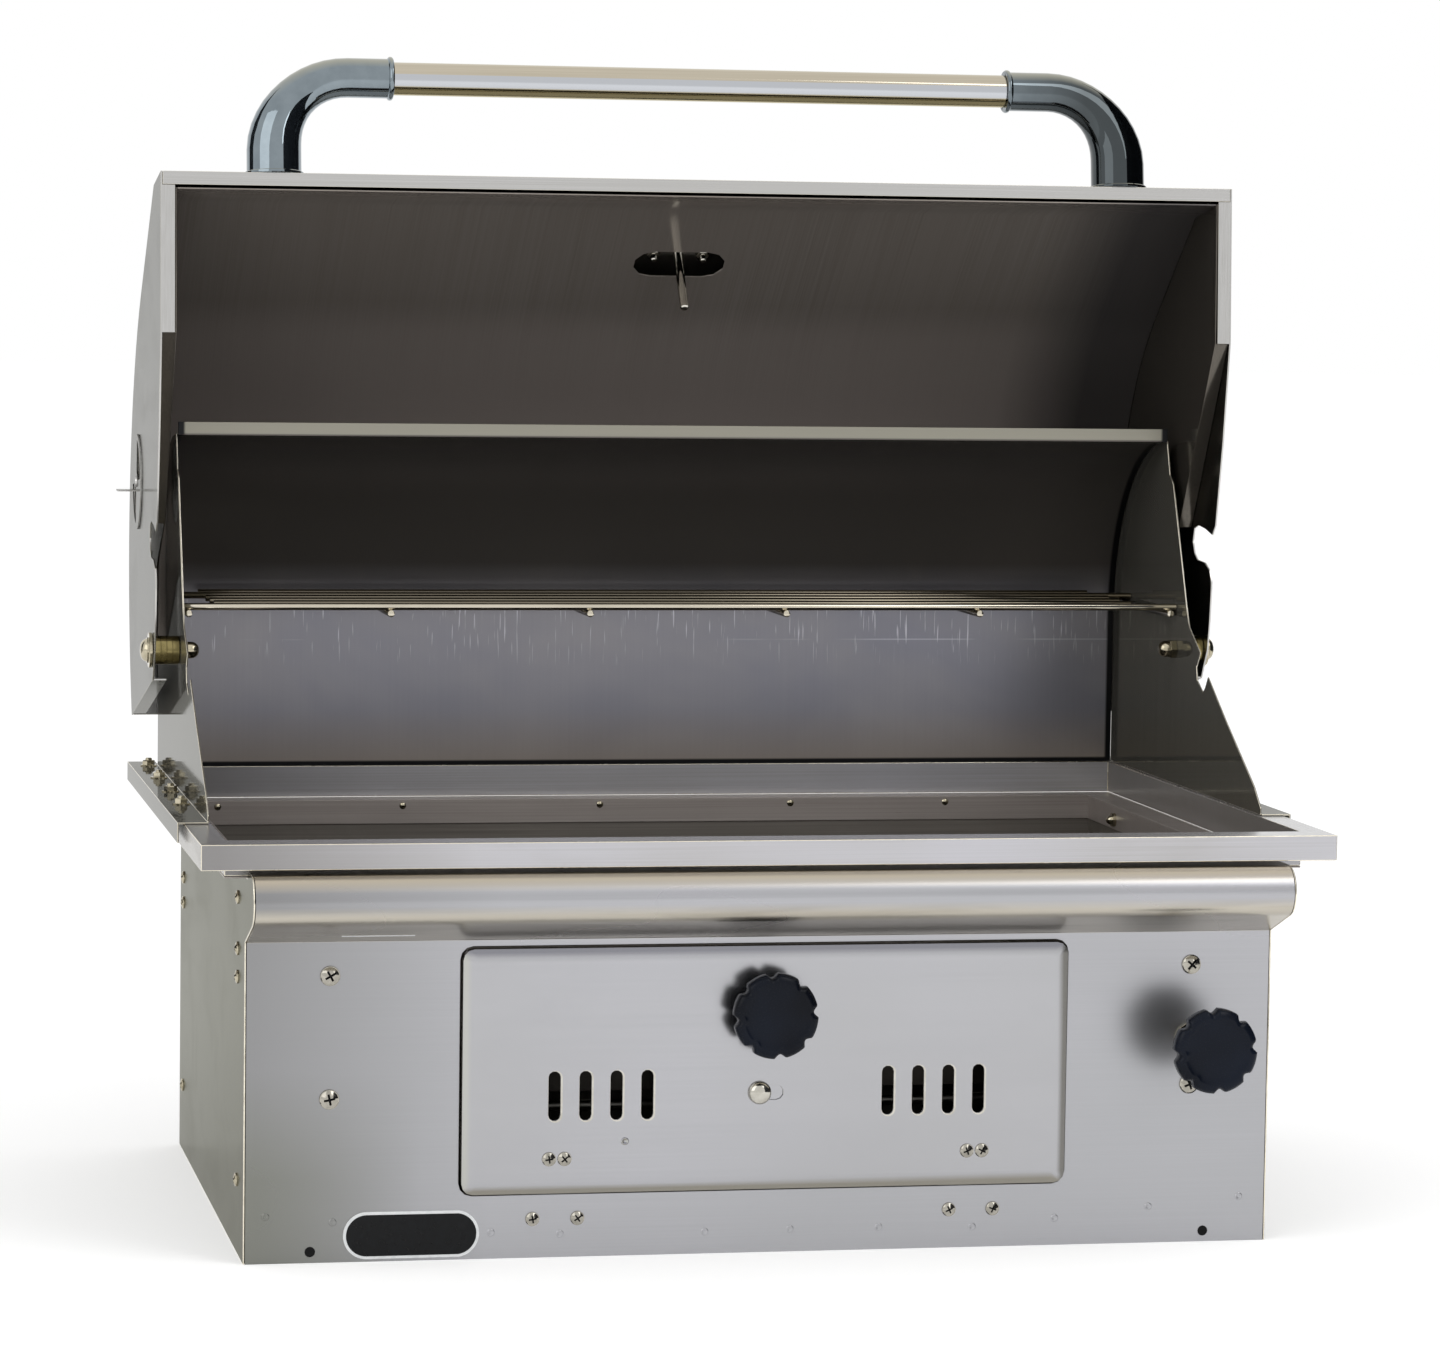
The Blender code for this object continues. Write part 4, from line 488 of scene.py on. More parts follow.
def angleOf(turn):
    # where a point stands round Z
    return Vector((turn.x, turn.y)).angle_signed(Vector((1, 0)), 0)


def hexWave(turn, radius):
    angle = (angleOf(turn) + 2 * pi) % (pi / 3)
    return radius * cos(pi / 6) / cos(angle - pi / 6)


# sheets taken over from the frame, with their edges broken

def mergedCopy(node):
    bm = bmesh.new()
    bm.from_mesh(cadNodes[node].data)
    bmesh.ops.remove_doubles(bm, verts=bm.verts, dist=0.000002)
    bmesh.ops.dissolve_limit(bm, angle_limit=radians(0.5), verts=bm.verts, edges=bm.edges)
    return bm


# outside sheets get a painted highlight, a bright cream finish, on their broken edges and bends
sheetEdges = {"plain": 0.0004, "highlighted": 0.0006,
              "highlightedFinishes": ("trim", "hood", "hoodSide", "plate", "side")}


def sheetCopy(node, finish):
    bm = mergedCopy(node)
    highlighted = finish in sheetEdges["highlightedFinishes"]
    for face in softenEdges(bm, sheetEdges["highlighted" if highlighted else "plain"]):
        face.material_index = 1 if highlighted else 0
    addPiece(node + "Sheet", bm, (finish, "edge") if highlighted else finish,
             cadNodes[node]["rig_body"], node, weighted=True)


sheetFinishes = {
    "front_panel": "front", "left_side_panel": "side", "right_side_panel": "side",
    "back_panel": "side", "base_panel": "side", "trim_frame": "trim", "grate_frame": "ledge",
    "firebox_liner": "firebox", "left_hinge_plate": "plate", "right_hinge_plate": "plate",
    "rear_shell": "shell", "hood_skin": "hood", "hood_left_side": "hoodSide",
    "hood_right_side": "hoodSide", "hood_liner": "inside", "hood_left_liner": "sideLiner",
    "hood_right_liner": "sideLiner", "left_hood_damper": "hoodSide",
    "right_hood_damper": "hoodSide",
    "door_panel": "door", "door_hinge_left": "lift", "door_hinge_right": "lift",
    "door_strap_left": "lift", "door_strap_right": "lift", "air_slide": "door",
    "slide_guide_lower": "lift", "slide_guide_upper": "lift", "crank_bushing": "bolt",
    "lift_guide_left": "lift", "lift_guide_right": "lift", "cam_plate_left": "lift",
    "cam_plate_right": "lift", "charcoal_tray": "tray", "ash_pan": "tray",
    "pan_rail_left": "tray", "pan_rail_right": "tray",
    "cross_bar_front": "lift", "cross_bar_back": "lift", "latch_cam": "lift",
    "latch_shaft": "bolt", "lift_screw": "bolt",
}
for node, finish in sheetFinishes.items():
    sheetCopy(node, finish)
print("sheets", len(sheetFinishes))


# handle: a drawn tube in two cast elbows

handle = {"line": (-0.354877, 0.3293), "tubeRadius": 0.0125, "tubeWall": 0.0015,
          "tubeHalf": 0.2388, "span": 0.3295, "bend": 0.056, "flange": 0.0225, "foot": 0.0207,
          "neck": 0.015, "bead": 0.0166, "beadLength": 0.0037, "boreDepth": 0.015,
          "fit": 0.0003, "seat": -0.279377}
# how an elbow narrows along its bend, from 1 at the foot to 0 at the neck
taper = (1, 0.95, 0.84, 0.70, 0.56, 0.41, 0.28, 0.18, 0.10, 0.05, 0.02, 0, 0)


def makeHandle():
    size = handle
    y, z = size["line"]
    outer, half, bead, flange = (size[key] for key in ("tubeRadius", "tubeHalf", "bead", "flange"))
    inner = outer - size["tubeWall"]
    bm = turnedShape([(inner, -half), (outer, -half), (outer, half), (inner, half)], 64, True)
    bm.transform(openHood @ facing((0, y, z), (1, 0, 0)))
    addPiece("handleTube", bm, "tube", "hood", "handle_tube")
    bore, length = inner - size["fit"], size["beadLength"]
    start = half + size["fit"] + length
    for side, sign in sides:
        baseX = sign * size["span"]
        out, inward = Vector(outward), Vector((-sign, 0, 0))
        rings = [(Vector((baseX, size["seat"] - rise, z)), out, radius) for rise, radius in (
            (0, flange * 0.7), (0, flange - 0.0003), (0.0004, flange), (0.0019, flange),
            (0.0024, flange - 0.0005), (0.0025, size["foot"]))]
        centre = Vector((baseX - sign * size["bend"], y + size["bend"], z))
        for count, share in enumerate(taper):
            turn = pi / 2 * count / (len(taper) - 1)
            spot = centre + Vector((sign * cos(turn), -sin(turn), 0)) * size["bend"]
            radius = size["neck"] + (size["foot"] - size["neck"]) * share
            rings.append((spot, out * cos(turn) + inward * sin(turn), radius))
        for back, radius in ((-0.0004, size["neck"]), (0, bead - 0.001), (0.0006, bead - 0.0003),
                             (0.0013, bead), (0.0024, bead), (0.0031, bead - 0.0003),
                             (length, bead - 0.001), (length, bore), (size["boreDepth"], bore)):
            rings.append((Vector((sign * (start - back), y, z)), inward, radius))
        bm = loftShape(rings)
        bm.transform(openHood)
        name = "handle_elbow_" + side
        addPiece(side + "HandleElbow", bm, "chrome", "hood", name)


makeHandle()
print("handle")


# warming rack: round bars welded under cross wires

rack = {"radius": 0.00275, "barLevel": 0.441, "wireLevel": 0.4461, "front": 0.069,
        "back": 0.2445, "span": 0.778, "bars": 6, "firstWire": 0.0745, "lastWire": 0.239,
        "reach": 0.3945, "shortReach": 0.3665, "wires": 6, "longWires": (0, 4)}


def makeRack():
    size = rack
    radius, level, wireLevel = size["radius"], size["barLevel"], size["wireLevel"]
    bm = bmesh.new()
    for count in range(size["bars"]):
        x = size["span"] * (count / (size["bars"] - 1) - 0.5)
        addShape(bm, barShape((x, size["front"], level), (x, size["back"], level), radius))
    for count in range(size["wires"]):
        share = count / (size["wires"] - 1)
        y = size["firstWire"] + (size["lastWire"] - size["firstWire"]) * share
        end = size["reach"] if count in size["longWires"] else size["shortReach"]
        addShape(bm, barShape((-end, y, wireLevel), (end, y, wireLevel), radius))
    addPiece("warmingRackWires", bm, "rack", "cabinet", "warming_rack")


makeRack()
print("rack")


# hinge fittings: washer and domed bolt, grooved spacer, domed nut

hinge = {"outer": 0.4168, "inner": 0.3963, "spacerEnd": 0.4150, "bolt": 0.004, "boltEnd": 0.3864,
         "hole": 0.0043, "washer": 0.0135, "spacer": 0.011, "grooves": (0.28, 0.52, 0.76),
         "plateFace": 0.3945, "nutBottom": 0.3805}
# the bolt's domed head as radius and height over the washer's seat
boltHead = ((0.0098, 0.0026), (0.0098, 0.0039), (0.0089, 0.0040), (0.0087, 0.0046),
            (0.0080, 0.0062), (0.0065, 0.0076), (0.0045, 0.0085), (0.0022, 0.0089), (0, 0.0090))
# the nut's flats as depth and radius, and its dome as radius and depth, from the plate
nutFlats = ((0, 0.0078), (0.0045, 0.0078), (0.0050, 0.0072))
nutDome = ((0, 0.004), (0.0064, 0.004), (0.0064, 0.0078), (0.0062, 0.0094), (0.0054, 0.0113),
           (0.0041, 0.0127), (0.0022, 0.0136))


def makeHingeFittings():
    size = hinge
    start, washer, bolt, end = size["outer"], size["washer"], size["bolt"], size["boltEnd"]
    near, far, rim, hole = size["inner"], size["spacerEnd"], size["spacer"], size["hole"]
    face = size["plateFace"]
    for side, sign in sides:
        move = facing(hingeLine, (sign, 0, 0))
        shank = [(0, end), (bolt, end), (bolt, start), (washer - 0.0004, start),
                 (washer, start + 0.0004), (washer, start + 0.0022),
                 (washer - 0.0005, start + 0.0026)]
        bm = turnedShape(shank + [(radius, start + rise) for radius, rise in boltHead])
        bm.transform(move)
        addPiece(side + "HingeBolt", bm, "bolt", "cabinet", "hinge_bolt_" + side)

        profile = [(hole, near), (rim - 0.0003, near), (rim, near + 0.0003)]
        for share in size["grooves"]:
            at = near + (far - near) * share
            profile += [(rim, at - 0.0002), (rim - 0.0003, at), (rim, at + 0.0002)]
        profile += [(rim, far - 0.0003), (rim - 0.0003, far), (hole, far)]
        bm = turnedShape(profile, closed=True)
        bm.transform(move)
        addPiece(side + "HingeSpacer", bm, "bronze", "cabinet",
                 "hinge_spacer_" + side)

        bm = stackedShape([(face - deep, radius) for deep, radius in nutFlats], 48, hexWave)
        dome = [(radius, face - deep) for radius, deep in nutDome]
        addShape(bm, turnedShape(dome + [(0, size["nutBottom"])], 32))
        bm.transform(move)
        addPiece(side + "HingeNut", bm, "bolt", "cabinet", "hinge_nut_" + side)


makeHingeFittings()
print("hinges")


# lobed knobs of the door latch and of the charcoal lift

knob = {"radius": 0.031, "depth": 0.018, "lobes": 8, "scallop": 0.0034, "share": 0.36,
        "turn": radians(-6), "bore": 0.0043, "hub": 0.011, "roundBelow": 0.019}


def lobed(turn, radius):
    # round lobes with narrow scallops between them; small rings stay round
    plain = knob["roundBelow"]
    if radius < plain:
        return radius
    lobe = 2 * pi / knob["lobes"]
    away = abs((-angleOf(turn) - knob["turn"] + lobe / 2) % lobe - lobe / 2)
    dip = cos(pi / 2 * min(away / (lobe * knob["share"] / 2), 1))
    return radius - knob["scallop"] * dip * (radius - plain) / (knob["radius"] - plain)


def makeKnob(name, node, body, place):
    # rings from the bore in the back, over the rim, to the dished face
    depth, hub, rim = knob["depth"], knob["hub"], knob["radius"]
    profile = [(0.0072, knob["bore"]), (depth, knob["bore"]), (depth, 0.0104),
               (depth - 0.0006, hub), (0.0137, hub), (0.0136, 0.0255), (0.0133, 0.0282),
               (0.0124, 0.0301), (0.0108, rim), (0.0056, rim), (0.0036, 0.0307),
               (0.0019, 0.0297), (0.0007, 0.0279), (0.0001, 0.0258), (0, 0.0247),
               (0.0003, 0.0238), (0.0007, 0.0225), (0.0010, 0.0185), (0.0012, 0.010),
               (0.0012, 0.0005)]
    bm = stackedShape([(-back, radius) for back, radius in profile], 160, lobed)
    # the face looks along -Y and the pattern of lobes stands as it does on the door
    bm.transform(Matrix.Translation(place) @ Matrix.Rotation(radians(90), 4, "X"))
    addPiece(name, bm, "knob", body, node, smooth=50)


def knobPlace(node):
    low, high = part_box(node)
    return ((low[0] + high[0]) / 2, low[1], (low[2] + high[2]) / 2)


makeKnob("latchKnob", "door_knob", "latch", knobPlace("door_knob"))
makeKnob("liftCrankKnob", "crank_knob", "crank", knobPlace("crank_knob"))
print("knobs")


# stud of the air slide: a bare domed head

def makeStud():
    low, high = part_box("air_slide_stud")
    x, z, front = (low[0] + high[0]) / 2, (low[2] + high[2]) / 2, low[1]
    back = high[1] - front
    bm = turnedShape([(0, 0), (0.0030, 0.00025), (0.0055, 0.0010), (0.0073, 0.0022),
                      (0.0082, 0.0037), (0.0085, 0.0052), (0.0083, 0.0058), (0.0078, 0.0060),
                      (0.003, 0.0060), (0.003, back), (0, back)], 40)
    bm.transform(facing((x, front, z), (0, 1, 0)))
    addPiece("airSlideStud", bm, "stud", "slide", "air_slide_stud")


makeStud()


# thermometer on the slanted face

gauge = {"along": 0.07367, "slant": radians(60.7), "bend": (-0.277, 0.372), "radius": 0.036,
         "depth": 0.012, "dial": 0.0342, "stem": 0.0035, "stemLength": 0.056, "ticks": 28,
         "firstTick": -225, "sweep": 270, "tickEnd": 0.031, "nutShift": 0.0197, "nut": 0.0056}
gaugeOut = Vector((0, -sin(gauge["slant"]), cos(gauge["slant"])))
gaugeCentre = Vector((0, gauge["bend"][0] + cos(gauge["slant"]) * gauge["along"],
                      gauge["bend"][1] + sin(gauge["slant"]) * gauge["along"]))
gaugeMove = openHood @ facing(gaugeCentre, gaugeOut)


def gaugePiece(name, bm, finish, stands=None, body="hood"):
    bm.transform(gaugeMove)
    addPiece(name, bm, finish, body, stands, smooth=40)


def makeGauge():
    rim, deep, dial = gauge["radius"], gauge["depth"], gauge["dial"]
    gaugePiece("gaugeCase", turnedShape(
        [(0.0038, 0.0003), (0.034, 0.0003), (0.0352, 0.0009), (0.0355, 0.002), (0.0355, 0.0085),
         (rim, 0.0092), (rim, 0.0108), (0.0357, 0.0115), (0.0350, deep), (0.0345, deep),
         (0.0345, 0.0018), (0.0038, 0.0018)], 72, True), "chrome",
        "thermometer_case")
    gaugePiece("gaugeDial", turnedShape([(0.0018, 0.0021), (dial, 0.0021), (dial, 0.0029),
                                         (0.0018, 0.0029)], 72, True),
               "dial", "thermometer_dial")
    marks = bmesh.new()
    for count in range(gauge["ticks"]):
        # the scale runs three quarters of the way round, every third mark longer and broader
        angle = radians(gauge["firstTick"] + gauge["sweep"] * count / (gauge["ticks"] - 1))
        start, half = (0.024, 0.0005) if count % 3 == 0 else (0.0265, 0.00025)
        addShape(marks, blockShape((start, -half, 0.00288), (gauge["tickEnd"], half, 0.00305)),
                 Matrix.Rotation(angle, 4, "Z"))
    gaugePiece("gaugeScale", marks, "black")
    gaugePiece("gaugeGlass", turnedShape([(0, 0.009), (dial, 0.009), (dial, 0.0105),
                                          (0, 0.0105)], 72), "glass",
               "thermometer_glass")
    stem, end = gauge["stem"], -gauge["stemLength"]
    gaugePiece("gaugeStem", turnedShape([(0, 0.0017), (stem, 0.0017), (stem, end + 0.001),
                                         (stem - 0.001, end), (0, end)], 32), "stud",
               "thermometer_stem")
    pointer = blockShape((-0.008, -0.0011, 0.0033), (0.024, 0.0011, 0.0040))
    for vert in pointer.verts:
        vert.co.y *= 0.25 if vert.co.x > 0 else 1
    addShape(pointer, turnedShape([(0, 0.0024), (0.0015, 0.0024), (0.0015, 0.0044),
                                   (0.001, 0.0048), (0, 0.0048)], 24))
    gaugePiece("gaugeNeedle", pointer, "needle", "thermometer_needle",
               "needle")
    # two nuts that hold the case, seen in the pocket from inside the hood
    nuts, nut = bmesh.new(), gauge["nut"]
    for sign in (-1, 1):
        lift = Matrix.Translation((sign * gauge["nutShift"], 0, -0.0012))
        addShape(nuts, stackedShape(((0, nut), (-0.0034, nut), (-0.0039, 0.0049)), 36, hexWave),
                 lift)
        addShape(nuts, turnedShape([(0, -0.001), (0.0027, -0.001), (0.0027, -0.0078),
                                    (0.0020, -0.0086), (0, -0.0088)], 24), lift)
    gaugePiece("gaugeNuts", nuts, "stud")


makeGauge()
print("thermometer")


# screws, nuts and rivets

def domeHeight(radius, reach, height):
    return height * (1 - (radius / reach) ** 2.4)


def crossOutline(turn, radius):
    # a cross recess: each arm is two fifths as wide as it is long
    angle = (angleOf(turn) + 2 * pi) % (pi / 2)
    nearest = min(angle, pi / 2 - angle)
    return min(radius, radius * 0.2 / max(sin(nearest), 0.0001))


def crossScrew(radius, height, turn):
    # pan head with a cross recess: rings of (reach, level, outline) from the seat inwards,
    # and those without a level lie on the dome
    bm = bmesh.new()
    arm = radius * 0.56
    plan = [(radius, 0, None), (radius, height * 0.25, None), (radius * 0.97, height * 0.45, None),
            (radius * 0.88, None, None), (radius * 0.74, None, None), (arm, None, crossOutline),
            (arm * 0.8, height * 0.2, crossOutline)]
    loops = []
    for number, (reach, level, wave) in enumerate(plan):
        ends = number in (0, len(plan) - 1)
        ring = bmesh.ops.create_circle(bm, cap_ends=ends, segments=32, radius=1)["verts"]
        for vert in ring:
            span = wave(vert.co, reach) if wave else reach
            top = level if level is not None else domeHeight(span, radius * 1.08, height)
            vert.co = Vector((vert.co.x * span, vert.co.y * span, top))
        loops.append(ringEdges(ring))
    for first, second in zip(loops, loops[1:]):
        walls = bmesh.ops.bridge_loops(bm, edges=first + second)["faces"]
    # the recess gets painted shade, a near black finish, on its walls and its floor
    for face in bm.faces:
        low = all(vert.co.z < height * 0.25 and vert.co.length < arm for vert in face.verts)
        face.material_index = 1 if low or face in walls else 0
    bmesh.ops.recalc_face_normals(bm, faces=bm.faces)
    bm.transform(Matrix.Rotation(radians(turn), 4, "Z"))
    return bm


# each place is (x, z, turn) on the front and (y, z, turn) on the side panels
screws = {
    "door": {"plane": "door", "radius": 0.0052, "height": 0.0024, "body": "door",
             "places": ((-0.1595, 0.0725, 8), (-0.1483, 0.0725, 40), (0.1483, 0.0725, 20),
                        (0.1595, 0.0725, 65))},
    "panel": {"plane": "front", "radius": 0.0052, "height": 0.0024, "body": "cabinet",
              "places": ((-0.170, 0.0282, 10), (-0.1373, 0.0282, 35), (0.1373, 0.0282, 25),
                         (0.170, 0.0282, 70))},
    "guide": {"plane": "front", "radius": 0.00725, "height": 0.0032, "body": "cabinet",
              "places": ((-0.317, 0.206, 30), (-0.317, 0.1175, 12), (0.317, 0.206, 50),
                         (0.317, 0.1175, 22))},
}
sideScrews = {"radius": 0.0050, "height": 0.0024,
              "places": ((-0.201, 0.257, 5), (-0.201, 0.220, 50), (-0.201, 0.1996, 30),
                         (0.222, 0.2197, 15), (0.222, 0.1996, 60), (0.222, 0.0527, 40),
                         (-0.201, 0.0527, 20))}


def makeScrews():
    for name, group in screws.items():
        bm = bmesh.new()
        for x, z, turn in group["places"]:
            addShape(bm, crossScrew(group["radius"], group["height"], turn),
                     facing((x, planes[group["plane"]], z), outward))
        addPiece(name + "Screws", bm, ("screw", "hole"), group["body"],
                 smooth=40)
    # the screws of the side panels are small pan heads, seen almost edge on
    for side, sign in sides:
        bm = bmesh.new()
        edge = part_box(side + "_side_panel")[1 if sign > 0 else 0][0]
        for y, z, turn in sideScrews["places"]:
            addShape(bm, crossScrew(sideScrews["radius"], sideScrews["height"], turn),
                     facing((edge, y, z), (sign, 0, 0)))
        addPiece(side + "PanelScrews", bm, ("bolt", "hole"), "cabinet", smooth=40)


makeScrews()


footNuts = {"x": 0.404, "top": 0.3065, "places": (-0.040, 0.050, 0.153, 0.248),
            "nut": 0.0050, "washer": 0.0062, "teeth": 12}


def toothed(turn, radius):
    return radius * (1 + 0.10 * cos(footNuts["teeth"] * angleOf(turn)))


def makeFootNuts():
    # a star washer, a hex nut and the end of its stud at each place, none turned alike
    nut, washer = footNuts["nut"], footNuts["washer"] * 0.96
    for side, sign in sides:
        bm = bmesh.new()
        for count, y in enumerate(footNuts["places"]):
            one = stackedShape(((0, washer), (0.0009, washer)), 48, toothed)
            addShape(one, stackedShape(((0.0008, nut), (0.0040, nut), (0.0047, nut * 0.9)), 36,
                                       hexWave))
            addShape(one, turnedShape([(0, 0.004), (0.0026, 0.004), (0.0026, 0.0060),
                                       (0.0020, 0.0066), (0, 0.0067)], 24))
            addShape(bm, one, Matrix.Translation((sign * footNuts["x"], y, footNuts["top"]))
                     @ Matrix.Rotation(radians(20 + 37 * count), 4, "Z"))
        addPiece(side + "FootNuts", bm, "bolt", "cabinet", smooth=30)


makeFootNuts()


def hitOn(node, start, way):
    # where a straight line from a point first meets a frame piece
    bm = mergedCopy(node)
    spot = BVHTree.FromBMesh(bm).ray_cast(Vector(start), Vector(way))[0]
    bm.free()
    return spot


rivets = {"places": (-0.350, -0.201, -0.040, 0.118, 0.248), "height": 0.2745,
          "stub": (0.2, 0.150, 0.268)}


def makeRivets():
    # small rivets of the skirt, and a nut's stub on its right hand side
    bm = bmesh.new()
    for x in rivets["places"]:
        spot = hitOn("grate_frame", (x, 0, rivets["height"]), (0, 1, 0))
        if spot:
            addShape(bm, turnedShape([(0, 0.0008), (0.0016, 0.0007), (0.0025, 0.0003),
                                      (0.0028, 0)], 24), facing(spot, outward))
    spot = hitOn("grate_frame", rivets["stub"], (1, 0, 0))
    if spot:
        addShape(bm, turnedShape([(0, 0.0075), (0.0022, 0.0068), (0.0036, 0.005),
                                  (0.0040, 0.003), (0.0055, 0.003), (0.0055, 0)], 24),
                 facing(spot, (-1, 0, 0)))
    bmesh.ops.recalc_face_normals(bm, faces=bm.faces)
    addPiece("skirtRivets", bm, "bolt", "cabinet", smooth=40)


makeRivets()


# marks on the front: weld dimples, drain holes, bare badge and bare label; black discs of
# painted shade in the drain holes and behind the damper holes

front = {"holes": (-0.330, 0.330), "holeZ": 0.008, "holeRadius": 0.0037, "holeDeep": 0.0008,
         "badge": (-0.2575, 0.019), "badgeSize": (0.098, 0.034), "badgeSheet": 0.0012,
         "badgeBorder": 0.0021, "label": (-0.285, 0.2365), "labelSize": (0.052, 0.0022)}
dimples = {"front": ((-0.362, 0.034), (-0.314, 0.029), (-0.200, 0.019), (-0.150, 0.017),
                     (-0.044, 0.016), (0.019, 0.0165), (0.085, 0.0164), (0.155, 0.015),
                     (0.217, 0.020), (0.288, 0.027), (0.357, 0.033)),
           "door": ((-0.1045, 0.0845),)}
damperShade = {"share": 0.46, "x": 0.4139}


def makeDimples():
    for sheet, name, body in (("front", "weldDimples", "cabinet"), ("door", "doorDimple", "door")):
        bm = bmesh.new()
        for x, z in dimples[sheet]:
            addShape(bm, turnedShape([(0.0029, -0.0001), (0.0026, 0.0004), (0.0021, 0.0005),
                                      (0.0014, 0.0001), (0, 0.00005)], 24),
                     facing((x, planes[sheet], z), outward))
        bmesh.ops.recalc_face_normals(bm, faces=bm.faces)
        addPiece(name, bm, sheet, body, smooth=60)


def darkDisc(radius, sheet, steps):
    return turnedShape([(0, 0), (radius, 0), (radius, sheet), (0, sheet)], steps)


def makeDrainHoleShade():
    # painted shade: a black disc behind each of the two drain holes stands in for the dark cabinet
    # seen through them
    bm = bmesh.new()
    for x in front["holes"]:
        addShape(bm, darkDisc(front["holeRadius"], 0.0003, 24),
                 facing((x, planes["front"] + front["holeDeep"], front["holeZ"]), outward))
    addPiece("drainHoleShade", bm, "hole", "cabinet", smooth=40)


def makeDamperShade():
    # painted shade: a black disc in the hollow between the hood's side and its liner, seen through
    # the damper's holes
    for side, sign in sides:
        low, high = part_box(side + "_hood_damper")
        disc = high[2] - low[2]
        bm = darkDisc(disc * damperShade["share"], 0.0004, 48)
        bm.transform(facing((sign * damperShade["x"], low[1] + disc / 2, (low[2] + high[2]) / 2),
                            (sign, 0, 0)))
        addPiece(side + "DamperShade", bm, "hole", "hood",
                 smooth=40)


makeDimples()
makeDrainHoleShade()
makeDamperShade()


def obroundRing(bm, length, height, level, shift=(0, 0)):
    # a circle pulled apart into a slot outline, longer along x or along y
    reach = min(length, height) / 2
    ring = bmesh.ops.create_circle(bm, cap_ends=False, segments=48, radius=reach)["verts"]
    pull = Vector((max(length - height, 0) / 2, max(height - length, 0) / 2))
    for vert in ring:
        side = vert.co.x if pull.x else vert.co.y
        way = 1 if side > 0 else -1
        vert.co = Vector((vert.co.x + pull.x * way + shift[0], vert.co.y + pull.y * way + shift[1],
                          level))
    return ringEdges(ring)


def obroundPlate(length, height, sheet, edge=0.0003):
    # a flat plate with half round ends and a broken front edge
    bm = bmesh.new()
    return closeLoops(bm, [obroundRing(bm, length, height, 0),
                           obroundRing(bm, length, height, sheet - edge),
                           obroundRing(bm, length - 2 * edge, height - 2 * edge, sheet)])


def makeBadge():
    # a black plate that lies on a slightly larger pale one
    x, z = front["badge"]
    length, height = front["badgeSize"]
    sheet, border = front["badgeSheet"], front["badgeBorder"]
    for name, finish, inset, thick, lift in (("badgeRim", "paleRim", 0, sheet, 0),
                                             ("badgeFace", "black", border, sheet * 0.3, sheet)):
        bm = obroundPlate(length - 2 * inset, height - 2 * inset, thick)
        bm.transform(facing((x, planes["front"] - lift, z), outward))
        addPiece(name, bm, finish, "cabinet", smooth=40)


def makeLabel():
    # bare label strip on the slant under the nose
    x, z = front["label"]
    slant = hitOn("front_panel", (x, -0.5, z), (0, 1, 0))
    below = hitOn("front_panel", (x, -0.5, z - 0.004), (0, 1, 0))
    right, up = Vector((1, 0, 0)), (slant - below).normalized()
    width, height = front["labelSize"]
    bm = blockShape((-width / 2, -height / 2, -0.0001), (width / 2, height / 2, 0.0003), 0.0001)
    turn = Matrix((right, up, right.cross(up))).transposed().to_4x4()
    bm.transform(Matrix.Translation(slant) @ turn)
    addPiece("bareLabel", bm, "paleRim", "cabinet", smooth=40)


louvres = {"first": 0.0885, "pitch": 0.0225, "count": 4, "width": 0.009, "height": 0.036,
           "z": 0.118, "rim": 0.0016, "shift": (0.0006, -0.0004), "deep": 0.0004,
           "proud": 0.00005}


def makeLouvreHighlights():
    # painted highlight: a bright ring, shifted right and down, lies round each air hole where its
    # pressed edge catches the light on its right and underneath
    bm = bmesh.new()
    wide, tall, rim = louvres["width"], louvres["height"], louvres["rim"]
    for sign in (-1, 1):
        for count in range(louvres["count"]):
            x = sign * (louvres["first"] + louvres["pitch"] * count)
            ring = bmesh.new()
            bmesh.ops.bridge_loops(ring, edges=obroundRing(ring, wide, tall, 0) + obroundRing(
                ring, wide + rim, tall + rim, 0, louvres["shift"]))
            made = bmesh.ops.extrude_face_region(ring, geom=ring.faces[:], use_keep_orig=True)
            bmesh.ops.translate(ring, vec=(0, 0, -louvres["deep"]), verts=[
                part for part in made["geom"] if isinstance(part, bmesh.types.BMVert)])
            bmesh.ops.recalc_face_normals(ring, faces=ring.faces)
            addShape(bm, ring, facing((x, planes["door"] - louvres["proud"], louvres["z"]),
                                      outward))
    addPiece("louvreHighlightRims", bm, "stud", "door", smooth=40)


makeLabel()
makeLouvreHighlights()
makeBadge()
print("details")


# floor, light and camera

studio = {"floorSize": 30, "skyStrength": 0.8, "floorGlow": 0.24, "aim": (0, 0, 0.35),
          "lamps": (("key", (2.4, -2.6, 3.2), 2.4, 40), ("fill", (-3.0, -2.4, 2.4), 3.0, 30)),
          "flags": (((2.2, -3.6), (2.2, 1.6), 0, 3.0), ((1.7, 1.2), (4.5, 1.2), 0, 3.0),
                    ((-4.5, 1.2), (-1.7, 1.2), 0, 3.0)), "flagHalf": 0.01}


def cameraShare(tree):
    # 1 for what the camera, a mirror or glass sees, 0 for light that falls on things
    path = addNode(tree, "ShaderNodeLightPath")
    seen = path.outputs["Is Camera Ray"]
    for ray in ("Is Glossy Ray", "Is Transmission Ray"):
        seen = addNode(tree, "ShaderNodeMath", {0: seen, 1: path.outputs[ray]},
                       operation="MAXIMUM").outputs[0]
    return seen


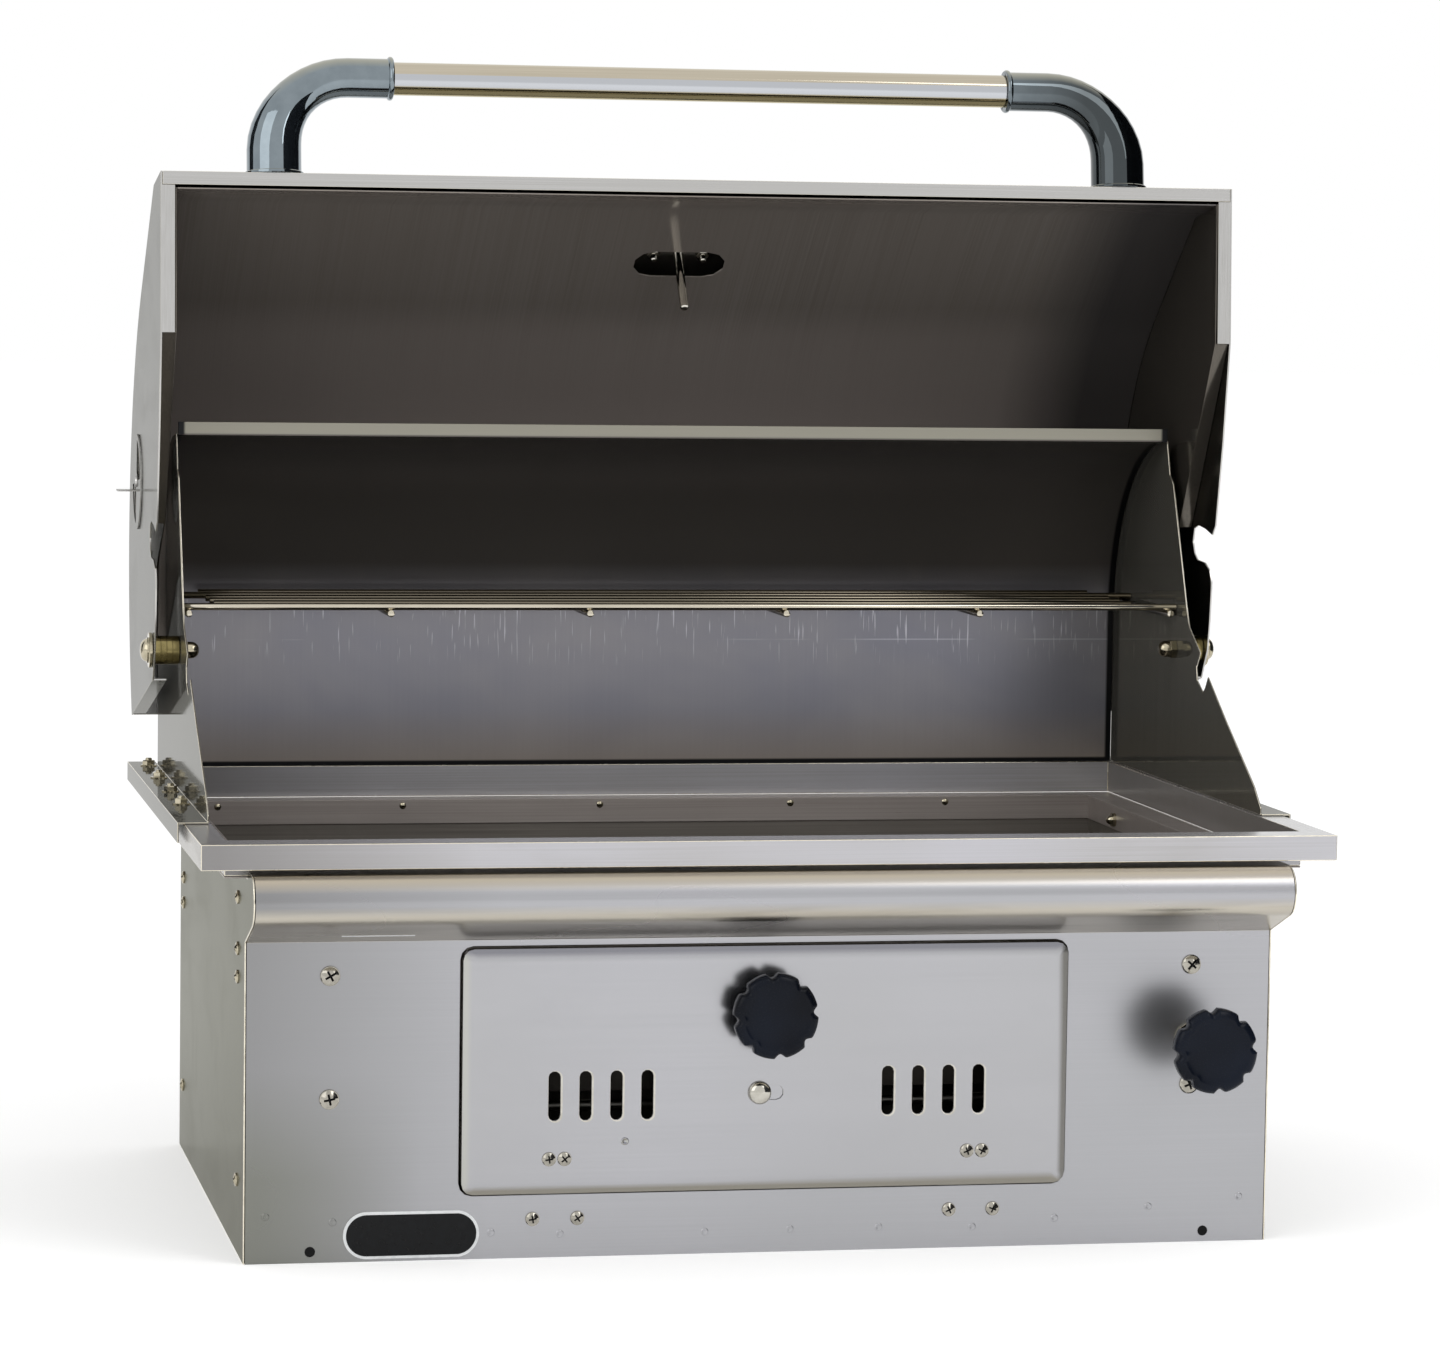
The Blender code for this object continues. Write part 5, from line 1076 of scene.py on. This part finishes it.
def makeStage():
    material, tree, shader = startMaterial("paleFloor")
    speck = noiseAt(tree, (3, 3, 3))
    glow = spread(tree, cameraShare(tree), 0, 1, (0, studio["floorGlow"]))
    setInputs(tree, shader, {
        "Base Color": mixColours(tree, speck, "#FAFAFA", "#FDFDFD"), "Roughness": 0.95,
        "Specular IOR Level": 0, "Emission Color": (1, 1, 1, 1), "Emission Strength": glow})
    bm = bmesh.new()
    bmesh.ops.create_grid(bm, x_segments=1, y_segments=1, size=studio["floorSize"])
    newObject("floor", bm, [material])

    # dark flags beside and behind the object, which only bright metal sees
    material, tree, shader = startMaterial("blackFlag")
    weave = noiseAt(tree, (40, 40, 40))
    setInputs(tree, shader, {"Base Color": mixColours(tree, weave, "#17191D", "#202329"),
                             "Roughness": 1})
    half = studio["flagHalf"]
    for number, (start, end, bottom, top) in enumerate(studio["flags"]):
        bm = blockShape((start[0] - half, start[1] - half, bottom),
                        (end[0] + half, end[1] + half, top))
        flag = newObject("flag" + str(number), bm, [material])
        flag.visible_camera = False
        flag.visible_diffuse = False
        flag.visible_shadow = False

    world = bpy.data.worlds.new("studio")
    scene.world = world
    world.use_nodes = True
    tree = world.node_tree
    strength = spread(tree, cameraShare(tree), 0, 1, (studio["skyStrength"], 1))
    setInputs(tree, tree.nodes["Background"], {"Color": (1, 1, 1, 1), "Strength": strength})

    for name, place, size, power in studio["lamps"]:
        lamp = bpy.data.lights.new(name, "AREA")
        lamp.size = size
        lamp.energy = power
        holder = bpy.data.objects.new(name, lamp)
        holder.location = place
        aim = Vector(studio["aim"]) - Vector(place)
        holder.rotation_euler = aim.to_track_quat("-Z", "Y").to_euler()
        scene.collection.objects.link(holder)


# the camera stands where the photo was taken from; angles in radians, lens in millimetres
view = {"place": (-0.7471, -3.8083, 0.7138), "yaw": 0.1966, "pitch": 0.082, "roll": 0.014,
        "lens": 127.1, "sensor": 36}


def makeCamera():
    yaw, pitch, roll = view["yaw"], view["pitch"], view["roll"]
    ahead = Vector((sin(yaw) * cos(pitch), cos(yaw) * cos(pitch), -sin(pitch)))
    right = Vector((cos(yaw), -sin(yaw), 0))
    up = right.cross(ahead)
    side = right * cos(roll) + up * sin(roll)
    top = up * cos(roll) - right * sin(roll)
    lens = bpy.data.cameras.new("camera")
    lens.lens = view["lens"]
    lens.sensor_width = view["sensor"]
    camera = bpy.data.objects.new("camera", lens)
    camera.matrix_world = Matrix.Translation(view["place"]) @ Matrix(
        (side, top, -ahead)).transposed().to_4x4()
    scene.collection.objects.link(camera)
    scene.camera = camera


makeStage()
makeCamera()
scene.view_settings.view_transform = "Standard"
print("stage")
